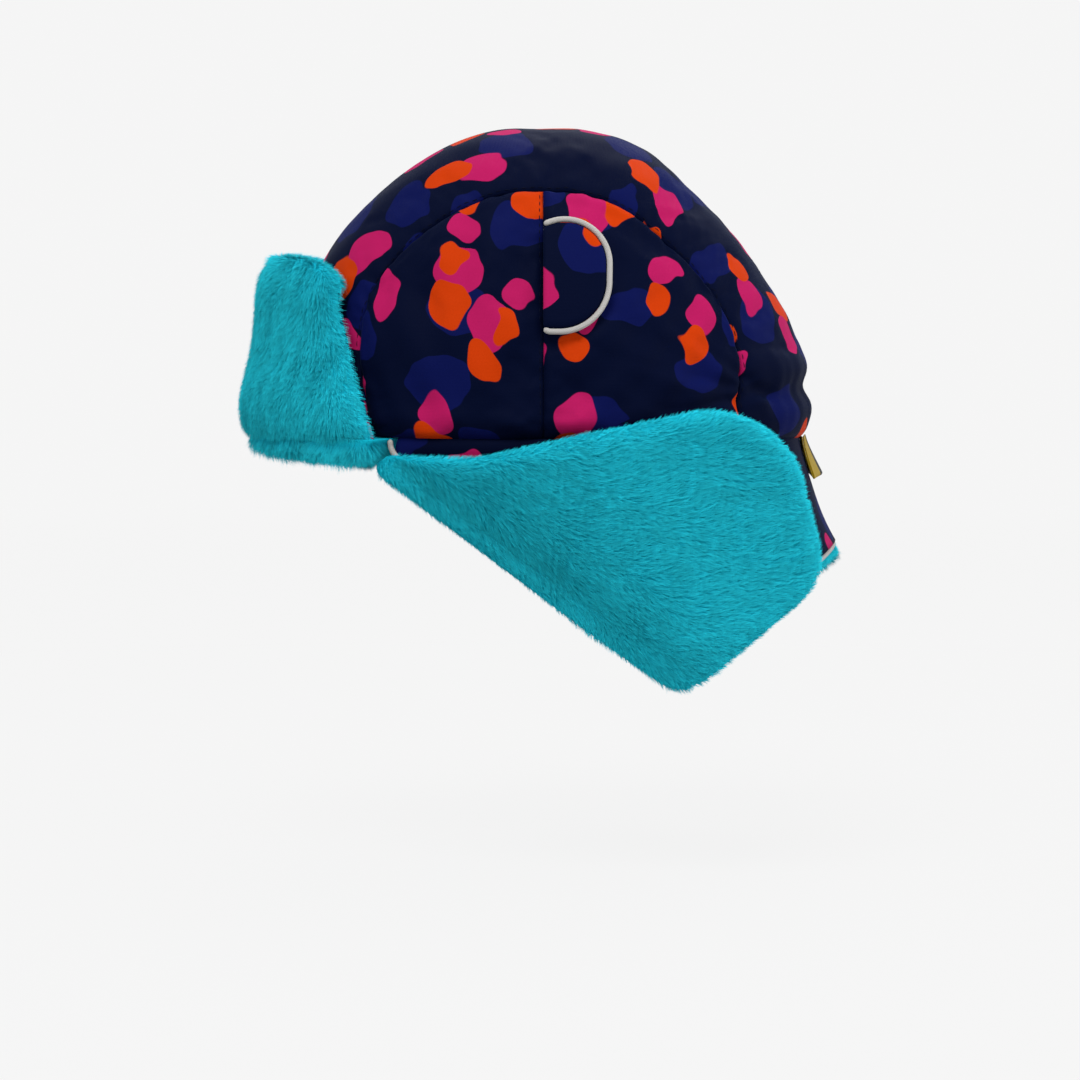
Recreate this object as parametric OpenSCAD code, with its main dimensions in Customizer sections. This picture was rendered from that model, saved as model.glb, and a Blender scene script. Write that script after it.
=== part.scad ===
// Child's trapper hat: a padded crown of three strips, a fur front flap that is
// turned up, and an ear and neck flap whose two long lobes are folded up, fur side out.
// The forehead faces -Y, the wearer's left is +X and Z is up. The origin is the
// centre of the head opening, in the plane of the hem.

/* [Crown] */
// Reach of the hem from the head's centre to the forehead
crown_front = 104; // [98:1:108]
// Radius of the crown's centre line 30 degrees above the forehead
crown_brow = 114; // [108:1:118]
// Radius of the centre line 60 degrees above the forehead
crown_fore_top = 122; // [116:1:128]
// Height of the crown above the hem
crown_top = 124; // [118:1:130]
// Radius of the centre line 60 degrees above the nape
crown_back_top = 114; // [108:1:120]
// Radius of the centre line 30 degrees above the nape
crown_back = 107; // [102:1:112]
// Reach of the hem from the head's centre to the nape
crown_rear = 104; // [98:1:108]
// Half of the crown's width at the hem
crown_half_width = 83; // [79:1:87]
// How far the seam beside the strip lies inside the crown's half width, over the head
strip_inset = 31; // [26:1:36]
// How far that seam lies inside the crown's half width at the hem, where the strip flares
strip_hem_inset = 23; // [18:1:28]
// Place of the upright seam in the side, ahead of the head's centre
side_seam_y = -4; // [-12:1:6]
// Depth of the waist that the elastic draws in at the nape
elastic_draw = 2; // [0:0.1:4]
// Height of the elastic above the hem
elastic_height = 19; // [15:1:26]
// Depth to which a seam draws the padding in
seam_draw = 1.6; // [0:0.1:2.4]

/* [Cloth] */
// Thickness of the printed shell cloth
shell_t = 1.2; // [0.8:0.1:1.6]
// Thickness of the crown's wadding
wadding_t = 5; // [3:0.5:7]
// Thickness of the elastic
elastic_t = 1; // [0.6:0.1:1.4]
// Width of the elastic
elastic_w = 12; // [8:1:16]
// Thickness of the lining
lining_t = 1.5; // [1:0.1:2.5]
// Thickness of the binding tape inside the hem
binding_t = 1.2; // [0.8:0.1:2]
// Width of the binding tape inside the hem
binding_w = 12; // [8:1:14]
// Gap between layers of cloth
ease_gap = 0.3; // [0.2:0.05:0.4]
// Gap either side of a tape that runs round the crown
tape_gap = 0.75; // [0.7:0.05:0.9]
// Gap across a seam between two panels
seam_gap = 0.6; // [0.5:0.05:1]
// Depth of the fur, from its backing to the tips
fur_t = 9; // [7:0.5:11]
// Thickness of the lined shell on the flaps
flap_shell_t = 2; // [1.5:0.1:3]
// Diameter of the piping
piping_d = 2.6; // [2:0.1:3.4]

/* [Ear and neck flap] */
// Hem angle from the forehead at which the flap begins
flap_start_angle = 53; // [50:1:58]
// Hem angle above the low end of the fold
fold_end_angle = 118; // [112:1:122]
// Hem angle at which the neck flap begins
neck_start_angle = 148; // [142:1:154]
// Depth of the flap below the hem where the fold begins
fold_front_drop = 11; // [8:0.5:13]
// Depth of the flap below the hem at the low end of the fold
fold_rear_drop = 93; // [82:1:98]
// Depth of the neck flap at the nape
nape_drop = 46; // [36:1:54]
// Flare of the flap's edge at the low end of the fold
fold_flare = 5; // [2:0.5:8]
// Flare of the neck flap's edge at the nape
nape_flare = 12; // [6:0.5:16]

/* [Ear lobe] */
// Place of the lobe's top corner along the fold
lobe_top_x = 105; // [95:1:112]
// Height of the lobe's top corner above the fold
lobe_top_p = 106; // [98:1:112]
// Place of the lobe's rear corner along the fold
lobe_rear_x = 163; // [156:1:170]
// Height of the lobe's rear corner above the fold
lobe_rear_p = 62; // [54:1:70]
// How far the lobe reaches ahead of the fold's front end
lobe_nose = 7; // [5:0.5:9]
// Rounding of the lobe's top corner
lobe_top_r = 36; // [28:1:42]
// Rounding of the lobe's rear corner
lobe_rear_r = 24; // [16:1:28]
// Stand-off of the lobe from the fold's plane, which clears the crown
lobe_lift = 15; // [14:0.5:19]
// Slope at which the back of the lobe bends round the head
lobe_bend_slope = 0.26; // [0.18:0.01:0.3]

/* [Front flap] */
// Height of the front flap
front_h = 72; // [62:1:80]
// How far each end of the flap's fold stays inside the crown's width
front_inset = 7; // [4:0.5:9]
// How much narrower each side of the flap is at its top than at its fold
front_taper = 24; // [18:1:30]
// Distance from the crown's forehead to the middle of the flap's thickness, at its fold
front_stand_off = 18; // [17:0.5:21]
// How far the flap leans back at its top
front_lean = 4; // [0:0.5:6]
// How far the flap's ends sweep back at the fold
front_sweep = 50; // [46:1:52]
// How far the flap's ends sweep back at the top
front_top_sweep = 27; // [22:1:32]
// Thickness of the fur facing that turns under the forehead
facing_t = 10; // [8:0.5:12]

/* [Side tab] */
// Depth of the tab from the upright seam to its round edge
tab_depth = 28; // [22:1:34]
// Height of the tab
tab_h = 48; // [40:1:54]
// Height of the tab's lower edge above the hem
tab_z = 40; // [34:1:44]
// Thickness of the tab
tab_t = 2.4; // [1.8:0.1:3]

/* [Closure and label] */
// Length of the hook and loop patches
patch_l = 42; // [30:1:50]
// Width of the hook and loop patches
patch_w = 24; // [18:1:28]
// Thickness of the hook and loop patches
patch_t = 1.5; // [1:0.1:2]
// Width of the loop label at the nape
label_w = 22; // [14:1:30]
// Length of the loop label
label_l = 17; // [12:1:22]
// Thickness of the label's ribbon
label_t = 0.8; // [0.5:0.1:1]

/* [Hidden] */

navy = "#0d1633";
turquoise = "#1a9eae";
silver = "#c9ccc9";
label_yellow = "#d9c022";
off_white = "#e8e6de";

// Exponent of the crown's sideways roundness: 2 is an ellipse
side_power = 2.2;
// Half widths of the strip over the head
strip_half_width = crown_half_width - strip_inset;
strip_hem_half_width = crown_half_width - strip_hem_inset;
// Power that keeps the strip's flare close to the hem
strip_flare_power = 10;
// Side-view angles of the corners in the seam between strip and side
front_corner_angle = 38;
rear_corner_angle = 140;
// Power that keeps a seam's draw-in close to the seam
seam_power = 8;
// Half height of the drawn-in waist, in degrees at the head's centre
elastic_spread_angle = 3;
elastic_angle = 180 - atan(elastic_height / crown_rear);
// Sideways reach of the elastic, in hem degrees from the forehead
elastic_start_angle = 146;
elastic_step_angle = 4;
binding_step_angle = 6;

// Depths of the layers below the crown's outer face
wadding_depth = shell_t + ease_gap;
elastic_depth = wadding_depth + wadding_t + tape_gap;
lining_depth = elastic_depth + elastic_t + tape_gap;
binding_depth = lining_depth + lining_t + tape_gap;

// Grid counts: finer round the waist at the nape
strip_angles = [for (a = [0:10:160]) a, 164, 167, 170, 173, 176, 180];
strip_cols = 8;
side_cells = 8;
hem_cells = 12;
drop_cells = 4;
ring_points = 36;
tube_sides = 8;

// Named lengths of the lobe, measured across the middle of its thickness
lobe_t = flap_shell_t + ease_gap + fur_t;
lobe_half_t = lobe_t / 2;
fold_reach = lobe_half_t + 2.5 * ease_gap;
// Where the lobe starts to climb away from its fold, and over what length
lift_offset = 2;
lift_length = 18;
// Where the lobe starts to bend round the head, and how gently
bend_offset = 60;
bend_ease = 30;
bend_rise = 30;
// Share of the thickness that is left at a lobe's edge, and the power that keeps the thinning there
edge_share = 0.35;
edge_power = 16;
// Rings of a lobe from its middle to its edge, as shares of the outline
lobe_rings = [0.3, 0.62, 0.86, 1];
// Inner ring of a small pad, as a share of its outline
inner_ring = 0.5;

// Plain helpers for lists and vectors

function unit(v) = v / norm(v);
function mix(a, b, t) = a + (b - a) * t;
function total(list, i = 0) = i == len(list) - 1 ? list[i] : list[i] + total(list, i + 1);
function half_at_ends(i, last) = (i == 0 || i == last) ? 0.5 : 1;
function flipped(grid) = [for (row = grid) [for (c = [len(row) - 1:-1:0]) row[c]]];

// Lengths along an open or closed run of points, and that run cut into equal steps
function run_lengths(pts, i = 0, sum = 0) =
    i == len(pts) - 1 ? [sum] : concat([sum], run_lengths(pts, i + 1, sum + norm(pts[i + 1] - pts[i])));
function place_on_run(pts, sums, d, i = 0) =
    (i == len(pts) - 2 || d <= sums[i + 1])
    ? mix(pts[i], pts[i + 1], (d - sums[i]) / (sums[i + 1] - sums[i]))
    : place_on_run(pts, sums, d, i + 1);
function even_run(pts, steps) =
    let (sums = run_lengths(pts), whole = sums[len(sums) - 1])
    [for (i = [0:steps]) place_on_run(pts, sums, whole * i / steps)];
function even_loop(pts, steps) =
    let (run = even_run(concat(pts, [pts[0]]), steps))
    [for (i = [0:steps - 1]) run[i]];

// Points of a closed anticlockwise run set outwards by a distance, square to the run
function spread(pts, d) =
    let (n = len(pts))
    [for (i = [0:n - 1]) let (way = unit(pts[(i + 1) % n] - pts[(i + n - 1) % n]))
        pts[i] + d * [way.y, -way.x]];

// Round corners: each corner is [x, y, radius], listed anticlockwise
function corner_arc(before, at, after, r, steps) =
    let (to_before = unit(before - at), to_after = unit(after - at),
         half = acos(to_before * to_after) / 2,
         middle = at + unit(to_before + to_after) * r / sin(half),
         from = at + to_before * r / tan(half) - middle,
         turn = 180 - 2 * half)
    [for (i = [0:steps]) let (a = turn * i / steps)
        middle + [from.x * cos(a) - from.y * sin(a), from.x * sin(a) + from.y * cos(a)]];
function rounded(corners, steps = 6) =
    let (n = len(corners), flat = [for (c = corners) [c.x, c.y]])
    [for (i = [0:n - 1])
        each corner_arc(flat[(i + n - 1) % n], flat[i], flat[(i + 1) % n], corners[i].z, steps)];

// Solids from grids and rings of points

// Closed sheet between two grids; rows run up and columns run right, seen from the outer grid's side
module sheet_solid(outer, inner) {
    rows = len(outer) - 1;
    cols = len(outer[0]) - 1;
    span = cols + 1;
    size = (rows + 1) * span;
    cells = [for (r = [0:rows - 1]) for (c = [0:cols - 1])
        [r * span + c, r * span + c + 1, (r + 1) * span + c + 1, (r + 1) * span + c]];
    top = rows * span;
    to_inner = [size, size, size];
    polyhedron(
        points = concat([for (row = outer) each row], [for (row = inner) each row]),
        faces = concat(
            [for (q = cells) each [[q[0], q[3], q[2]], [q[0], q[2], q[1]]]],
            [for (q = cells) each [[q[0], q[2], q[3]] + to_inner, [q[0], q[1], q[2]] + to_inner]],
            [for (c = [0:cols - 1]) each [[c, c + 1, c + 1 + size], [c, c + 1 + size, c + size]]],
            [for (c = [0:cols - 1]) let (d = top + c)
                each [[d + 1, d, d + size], [d + 1, d + size, d + 1 + size]]],
            [for (r = [0:rows - 1]) let (a = r * span, d = a + span)
                each [[d, a, a + size], [d, a + size, d + size]]],
            [for (r = [0:rows - 1]) let (b = r * span + cols, c = b + span)
                each [[b, c, c + size], [b, c + size, b + size]]]),
        convexity = 6);
}

// Solid through closed rings of points, with a fan over each end, or joined into a hoop.
// From ring number fold on, the faces' diagonals are turned, so that stacked pads keep their gap.
module ring_solid(rings, hoop = false, fold = undef) {
    n = len(rings);
    k = len(rings[0]);
    last = hoop ? n - 1 : n - 2;
    first_middle = n * k;
    top_ring = (n - 1) * k;
    polyhedron(
        points = concat([for (ring = rings) each ring],
            hoop ? [] : [total(rings[0]) / k, total(rings[n - 1]) / k]),
        faces = concat(
            [for (i = [0:last]) for (j = [0:k - 1])
                let (a = i * k + j, b = i * k + (j + 1) % k,
                     c = ((i + 1) % n) * k + (j + 1) % k, d = ((i + 1) % n) * k + j)
                each is_undef(fold) || i < fold ? [[a, d, c], [a, c, b]] : [[a, d, b], [d, c, b]]],
            hoop ? [] : [for (j = [0:k - 1]) [j, (j + 1) % k, first_middle]],
            hoop ? [] : [for (j = [0:k - 1]) [top_ring + (j + 1) % k, top_ring + j, first_middle + 1]]),
        convexity = 6);
}

// Round tube along a run of points
function tube_ring(at, along, r) =
    let (level = abs(along.z) > 0.9 ? [1, 0, 0] : [0, 0, 1],
         side = unit(cross(along, level)), up = cross(side, along))
    [for (j = [0:tube_sides - 1]) let (a = -360 * j / tube_sides)
        at + r * (cos(a) * side + sin(a) * up)];
module tube(path, d) {
    n = len(path);
    ring_solid([for (i = [0:n - 1])
        tube_ring(path[i], unit(path[min(i + 1, n - 1)] - path[max(i - 1, 0)]), d / 2)]);
}

// Crown's outer face

// The centre line is a cosine series through the seven radii, less the elastic's waist
profile_radii = [
    crown_front, crown_brow, crown_fore_top, crown_top, crown_back_top, crown_back, crown_rear
];
profile_last = len(profile_radii) - 1;
profile_terms = [for (k = [0:profile_last])
    half_at_ends(k, profile_last) * 2 / profile_last * total([for (j = [0:profile_last])
        half_at_ends(j, profile_last) * profile_radii[j] * cos(k * j * 180 / profile_last)])];
function profile_radius(a) =
    total([for (k = [0:profile_last]) profile_terms[k] * cos(k * a)])
    - elastic_draw * exp(-pow((a - elastic_angle) / elastic_spread_angle, 2));

// Point at side-view angle a and sideways place x, and point beside a side-view place (y, z)
function crown_at(a, x) =
    let (rho = profile_radius(a) * sqrt(1 - pow(abs(x) / crown_half_width, side_power)))
    [x, -rho * cos(a), rho * sin(a)];
function crown_beside(y, z) =
    let (share = norm([y, z]) / profile_radius(atan2(z, -y)))
    [crown_half_width * pow(max(0, 1 - share * share), 1 / side_power), y, z];

// Outward normal, from the gradient of the same surface
function crown_normal(p) =
    let (a = atan2(p.z, -p.y), rho = norm([p.y, p.z]), r = profile_radius(a),
         slope = (profile_radius(a + 0.5) - profile_radius(a - 0.5)) * 180 / PI,
         sideways = side_power / crown_half_width * sign(p.x)
                    * pow(abs(p.x) / crown_half_width, side_power - 1),
         outward = 2 * rho / (r * r),
         round = -2 * rho * slope / (r * r * r))
    unit([sideways, -outward * cos(a) + round * sin(a), outward * sin(a) + round * cos(a)]);
function below_crown(p, depth) = p - depth * crown_normal(p);
// Share of a seam's draw-in at a place across a panel, which is -1 or 1 at its seams
function seam_share(across) = pow(abs(across), seam_power);

// Strip over the head: its half width, and a grid of it at a depth
function strip_half(a) =
    mix(strip_half_width, strip_hem_half_width, pow(abs(cos(a)), strip_flare_power));
function strip_grid(depth, draw) =
    [for (a = strip_angles) let (half = strip_half(a) - seam_gap / 2)
        [for (c = [0:strip_cols]) let (across = 2 * c / strip_cols - 1)
            below_crown(crown_at(a, half * across), depth + draw * seam_share(across))]];
// A layer is drawn in at its seams by its own amount on each face
module strip_layer(depth, t, draw = 0, inner_draw = 0) {
    sheet_solid(strip_grid(depth, draw), strip_grid(depth + t, inner_draw));
}
module crown_center_strip() {
    color(navy) strip_layer(0, shell_t, seam_draw, seam_draw);
}
module center_wadding() {
    color(off_white) strip_layer(wadding_depth, wadding_t, seam_draw);
}
module center_lining() {
    color(turquoise) strip_layer(lining_depth, lining_t);
}

// Side of the crown: patches that fill the seam's arch in side view

function arch(a) =
    let (p = crown_at(a, strip_half(a) + seam_gap / 2)) [p.y, p.z];
arch_seam_angle = acos(-side_seam_y / norm(arch(90)));

// Front and rear patch, each with corners at foot and head on the seam and on the arch.
// gap parts the two patches at the upright seam, which one piece of wadding runs across.
front_patch = [0, front_corner_angle, arch_seam_angle, -0.5];
rear_patch = [180, rear_corner_angle, arch_seam_angle, 0.5];
// Blend of the four edges: hem, arch beside the foot, arch over the top, and upright seam;
// s runs from the arch to the upright seam and t up from the hem
function patch_place(patch, gap, s, t) =
    let (shift = [patch[3] * gap, 0],
         arch_foot = arch(patch[0]), arch_head = arch(patch[1]),
         seam_foot = [side_seam_y, 0] + shift, seam_head = arch(patch[2]) + shift,
         side = mix(arch(mix(patch[0], patch[1], t)), mix(seam_foot, seam_head, t), s),
         top = s == 1 ? seam_head : arch(mix(patch[1], patch[2], s)),
         rise = mix(mix(arch_foot, seam_foot, s), top, t),
         corners = mix(mix(arch_foot, seam_foot, s), mix(arch_head, seam_head, s), t))
    side + rise - corners;
// Every seam of a patch draws it in, but not its hem
function patch_draw(s, t) = max(seam_share(2 * s - 1), seam_share(t));
function patch_row(patch, gap, t, depth, draw) =
    [for (c = [0:side_cells]) let (s = c / side_cells, q = patch_place(patch, gap, s, t))
        below_crown(crown_beside(q.x, max(0, q.y)), depth + draw * patch_draw(s, t))];
// Rows of a patch from front to rear; the whole side is the front patch and the rear one end to end
function patch_rows(patch, gap, depth, draw) =
    [for (r = [0:side_cells]) patch_row(patch, gap, r / side_cells, depth, draw)];
function side_grid(which, depth, draw) =
    which == "front" ? patch_rows(front_patch, seam_gap, depth, draw)
    : which == "rear" ? flipped(patch_rows(rear_patch, seam_gap, depth, draw))
    : let (front = patch_rows(front_patch, 0, depth, draw),
           rear = flipped(patch_rows(rear_patch, 0, depth, draw)))
      [for (r = [0:side_cells]) concat(front[r], [for (c = [1:side_cells]) rear[r][c]])];
module side_layer(which, depth, t, draw = 0, inner_draw = 0) {
    sheet_solid(side_grid(which, depth, draw), side_grid(which, depth + t, inner_draw));
}
module front_side_panel() {
    color(navy) side_layer("front", 0, shell_t, seam_draw, seam_draw);
}
module rear_side_panel() {
    color(navy) side_layer("rear", 0, shell_t, seam_draw, seam_draw);
}
module side_wadding() {
    color(off_white) side_layer("whole", wadding_depth, wadding_t, seam_draw);
}
module side_lining() {
    color(turquoise) side_layer("whole", lining_depth, lining_t);
}

// Elastic sewn between wadding and lining round the nape, and the binding tape inside the hem

// Section of a tape through a few heights, up its inner face and down its outer one
function tape_section(a, depth, heights, t) =
    let (last = len(heights) - 1)
    [for (i = [0:last]) below_crown(crown_wall(a, heights[i]), depth + t),
     for (i = [last:-1:0]) below_crown(crown_wall(a, heights[i]), depth)];
// Point of the crown's face at hem angle a and height z, found along a level ray from the middle
function crown_wall(a, z) = level_search([sin(a), -cos(a)], z, 0, crown_front + crown_rear, 24);
function crown_value(p) =
    pow(abs(p.x) / crown_half_width, side_power)
    + pow(norm([p.y, p.z]) / profile_radius(atan2(p.z, -p.y)), 2);
function level_search(way, z, low, high, steps) =
    let (d = (low + high) / 2, p = [way.x * d, way.y * d, z])
    steps == 0 ? p
    : crown_value(p) > 1 ? level_search(way, z, low, d, steps - 1)
    : level_search(way, z, d, high, steps - 1);

module rear_elastic() {
    heights = [for (share = [-0.5:0.25:0.5]) elastic_height + share * elastic_w];
    color(off_white)
    ring_solid([for (a = [elastic_start_angle:elastic_step_angle:360 - elastic_start_angle])
        tape_section(a, elastic_depth, heights, elastic_t)]);
}
module hem_binding() {
    color(navy)
    ring_solid([for (a = [0:binding_step_angle:360 - binding_step_angle])
        tape_section(a, binding_depth, [ease_gap, binding_w], binding_t)], hoop = true);
}

// Ear and neck flap: a sheet that hangs from the hem to its own lower edge

function hem_at(a) =
    let (reach = cos(a) > 0 ? crown_front : crown_rear)
    [crown_half_width * sign(sin(a)) * pow(abs(sin(a)), 2 / side_power), -reach * cos(a), -ease_gap];
function hem_normal(a) =
    let (h = hem_at(a), reach = cos(a) > 0 ? crown_front : crown_rear)
    unit([side_power / crown_half_width * sign(h.x) * pow(abs(h.x) / crown_half_width, side_power - 1),
          2 * h.y / (reach * reach), 0]);

// Power by which the flap's flare grows from the hem to the lower edge
flare_power = 1.7;
// Power by which the lower edge rises from the fold's end to the nape
rise_power = 1.5;
fold_front_edge = hem_at(flap_start_angle) - [0, 0, fold_front_drop];
fold_rear_edge = hem_at(fold_end_angle) + fold_flare * hem_normal(fold_end_angle) - [0, 0, fold_rear_drop];
// Lower edge: straight along the fold, then rising round the nape
function lower_edge(a) =
    let (left = a > 180 ? 360 - a : a, s = (left - fold_end_angle) / (180 - fold_end_angle),
         drop = mix(nape_drop, fold_rear_drop, pow(max(0, 1 - s), rise_power)),
         flare = mix(fold_flare, nape_flare, s))
    left <= fold_end_angle
    ? mix(fold_front_edge, fold_rear_edge, (left - flap_start_angle) / (fold_end_angle - flap_start_angle))
    : hem_at(a) + flare * hem_normal(a) - [0, 0, drop];
// The sheet is flat down to the fold; round the nape it hangs straight and flares at its edge
function flap_point(a, v, depth) =
    let (h = hem_at(a), e = lower_edge(a), left = a > 180 ? 360 - a : a,
         round = max(0, (left - fold_end_angle) / (180 - fold_end_angle)),
         out = pow(v, mix(1, flare_power, round)))
    [mix(h.x, e.x, out), mix(h.y, e.y, out), mix(h.z, e.z, v)] - depth * hem_normal(a);
function flap_grid(from, to, cells, depth) =
    [for (r = [drop_cells:-1:0]) [for (c = [0:cells])
        flap_point(mix(from, to, c / cells), r / drop_cells, depth)]];
module flap_layer(from, to, cells, depth, t) {
    sheet_solid(flap_grid(from, to, cells, depth), flap_grid(from, to, cells, depth + t));
}
// Piping sits under the lower edge, in line with the shell cloth
module edge_piping(from, to, cells) {
    drop = piping_d / 2 + ease_gap;
    tube([for (c = [0:cells])
        flap_point(mix(from, to, c / cells), 1, flap_shell_t / 2) - [0, 0, drop]], piping_d);
}
// Angle that the seam gap takes where base and neck flap meet
seam_turn = ease_gap * 180 / PI / crown_rear;
neck_cells = 8;
// The base's piping starts beyond the end of the fold
base_piping_angle = fold_end_angle + 2;
module ear_base_shell() {
    color(navy) flap_layer(flap_start_angle, neck_start_angle - seam_turn, hem_cells, 0, flap_shell_t);
}
module ear_base_fur() {
    color(turquoise)
    flap_layer(flap_start_angle, neck_start_angle - seam_turn, hem_cells, flap_shell_t + ease_gap, fur_t);
}
module ear_base_piping() {
    color(silver) edge_piping(base_piping_angle, neck_start_angle - 2 * seam_turn, hem_cells / 2);
}
module neck_flap_shell() {
    color(navy) flap_layer(neck_start_angle, 360 - neck_start_angle, neck_cells, 0, flap_shell_t);
}
module neck_flap_fur() {
    color(turquoise)
    flap_layer(neck_start_angle, 360 - neck_start_angle, neck_cells, flap_shell_t + ease_gap, fur_t);
}
module neck_flap_piping() {
    color(silver) edge_piping(neck_start_angle, 360 - neck_start_angle, neck_cells);
}

// Label: a ribbon folded into a loop, sewn on at the nape and lying on the neck flap
label_drop = 2;
module label_loop() {
    // The ribbon leans with the chord of the neck flap that it covers
    end_drop = label_l + label_drop + 1;
    lean = atan(nape_flare * pow(end_drop / nape_drop, flare_power) / end_drop);
    // Leaves of the ribbon, a thickness apart, round at the fold
    gap = label_t;
    outer_r = gap / 2 + label_t;
    color(label_yellow)
    translate([0, crown_rear, 0])
    rotate([lean, 0, 0])
    translate([-label_w / 2, ease_gap + outer_r, -ease_gap - label_drop])
    rotate([90, 0, 90])
    linear_extrude(label_w)
    difference() {
        union() {
            translate([-outer_r, outer_r - label_l]) square([2 * outer_r, label_l - outer_r]);
            translate([0, outer_r - label_l]) circle(r = outer_r, $fn = 24);
        }
        translate([-gap / 2, outer_r - label_l]) square([gap, label_l]);
        translate([0, outer_r - label_l]) circle(d = gap, $fn = 24);
    }
}

// Ear lobe, in the frame of its fold: x runs along the fold, p up its face, o outwards

fold_origin = fold_front_edge + [fold_reach, 0, 0];
fold_tip = fold_rear_edge + [fold_reach, 0, 0];
fold_along = unit(fold_tip - fold_origin);
fold_up = unit([0, 0, 1] - fold_along.z * fold_along);
fold_out = cross(fold_along, fold_up);
fold_length = norm(fold_tip - fold_origin);

function lobe_lift_at(x, p) =
    let (climb = max(0, p - lift_offset), d = x - bend_offset,
         bend = lobe_bend_slope * (sqrt(d * d + bend_ease * bend_ease) + d) / 2)
    lobe_lift * (1 - exp(-climb / lift_length)) - bend * (1 - exp(-climb / bend_rise));
function on_lobe(x, p, o) =
    fold_origin + x * fold_along + p * fold_up + (o + lobe_lift_at(x, p)) * fold_out;

// Outline of the lobe, anticlockwise: fold, rear edge, top and front edge
lobe_end_r = 6;
// Edge of the fold below its axis, so that the thinned edge turns about the axis like a round roll
lobe_foot = -lobe_half_t * sqrt(1 - edge_share * edge_share);
lobe_outline = even_loop(rounded([
    [-lobe_nose, lobe_foot, lobe_end_r], [fold_length + lobe_half_t, lobe_foot, lobe_end_r],
    [lobe_rear_x, lobe_rear_p, lobe_rear_r], [lobe_top_x, lobe_top_p, lobe_top_r]]), ring_points);
lobe_middle = total(lobe_outline) / ring_points;
// Share of the thickness left at a ring: full in the middle, thin at the edge
function edge_thin(r) = mix(1, edge_share, pow(r, edge_power));
function lobe_ring(r, o) =
    [for (q = lobe_outline) let (w = mix(lobe_middle, q, r)) on_lobe(w.x, w.y, o * edge_thin(r))];
module lobe_layer(from, to) {
    ring_solid(concat(
        [for (r = lobe_rings) lobe_ring(r, from)],
        [for (i = [len(lobe_rings) - 1:-1:0]) lobe_ring(lobe_rings[i], to)]), fold = len(lobe_rings));
}
module ear_lobe_shell() {
    color(navy) lobe_layer(-lobe_half_t, -lobe_half_t + flap_shell_t);
}
module ear_lobe_fur() {
    color(turquoise) lobe_layer(-lobe_half_t + flap_shell_t + ease_gap, lobe_half_t);
}
// Piping runs round the free edge, just outside it, from fold to fold
module ear_lobe_piping() {
    clear = piping_d / 2 + ease_gap;
    free = [for (q = spread(lobe_outline, clear)) if (q.y > lobe_half_t) q];
    color(silver)
    tube([for (q = free) on_lobe(q.x, q.y, -lobe_half_t * edge_share)], piping_d);
}

// Hook and loop for the chin, near the end of each lobe: loop on the shell, hook on the fur
patch_reach = 0.35;
patch_centre = mix(lobe_middle, [lobe_top_x, lobe_top_p], patch_reach);
patch_r = 4;
patch_points = 20;
patch_outline = even_loop(rounded([for (c = [[-1, -1], [1, -1], [1, 1], [-1, 1]])
    [patch_centre.x + c.x * patch_l / 2, patch_centre.y + c.y * patch_w / 2, patch_r]]), patch_points);
function patch_ring(r, o) =
    [for (q = patch_outline) let (w = mix(patch_centre, q, r)) on_lobe(w.x, w.y, o)];
module lobe_patch(from, to) {
    ring_solid([patch_ring(inner_ring, from), patch_ring(1, from),
                patch_ring(1, to), patch_ring(inner_ring, to)]);
}
module chin_loop_patch() {
    color(navy) lobe_patch(-lobe_half_t - ease_gap - patch_t, -lobe_half_t - ease_gap);
}
module chin_hook_patch() {
    color(navy) lobe_patch(lobe_half_t + ease_gap, lobe_half_t + ease_gap + patch_t);
}

// Front flap: a curved sheet that stands before the forehead, q across and h up

front_cells = 12;
front_rows = 6;
front_half_width = crown_half_width - front_inset;
front_top_half_width = front_half_width - front_taper;
// The flap stands clear of the hem and of the brow, whichever is further forward
brow_angle = 180 / profile_last;
front_reach = max(crown_front, crown_brow * cos(brow_angle)) + front_stand_off;
// Power of the plan curve, and how far and how sharply the top corners round off
front_power = 2.2;
front_corner_drop = 5;
front_corner_power = 6;
function front_middle(q, h) =
    let (half = mix(front_half_width, front_top_half_width, h),
         sweep = mix(front_sweep, front_top_sweep, h))
    [half * q, -front_reach + front_lean * h + sweep * pow(abs(q), front_power),
     mix(ease_gap, front_h - front_corner_drop * pow(abs(q), front_corner_power), h)];
function front_out(q, h) =
    let (e = 0.02)
    unit(cross(front_middle(q, min(1, h + e)) - front_middle(q, max(0, h - e)),
               front_middle(q + e, h) - front_middle(q - e, h)));
function front_thin(q, h) =
    let (edge = max(abs(q), 2 * h - 1)) edge_thin(edge);
function front_grid(o) =
    [for (r = [0:front_rows]) [for (c = [0:front_cells])
        let (q = 2 * c / front_cells - 1, h = r / front_rows)
        front_middle(q, h) - o * front_thin(q, h) * front_out(q, h)]];
module front_layer(from, to) {
    sheet_solid(front_grid(to), front_grid(from));
}
module front_flap_backing() {
    color(navy) front_layer(-lobe_half_t, -lobe_half_t + flap_shell_t);
}
module front_flap_fur() {
    color(turquoise) front_layer(-lobe_half_t + flap_shell_t + ease_gap, lobe_half_t);
}

// Fur facing: a roll that carries the flap's fold and turns in under the forehead.
// Its section runs from inside the hem, where the roll is narrower, to the fold.
facing_share = 0.97;
facing_narrowing = 0.86;
facing_inner = 8;
// Front of the roll behind the flap's fur face
facing_set_back = 1;
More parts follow.
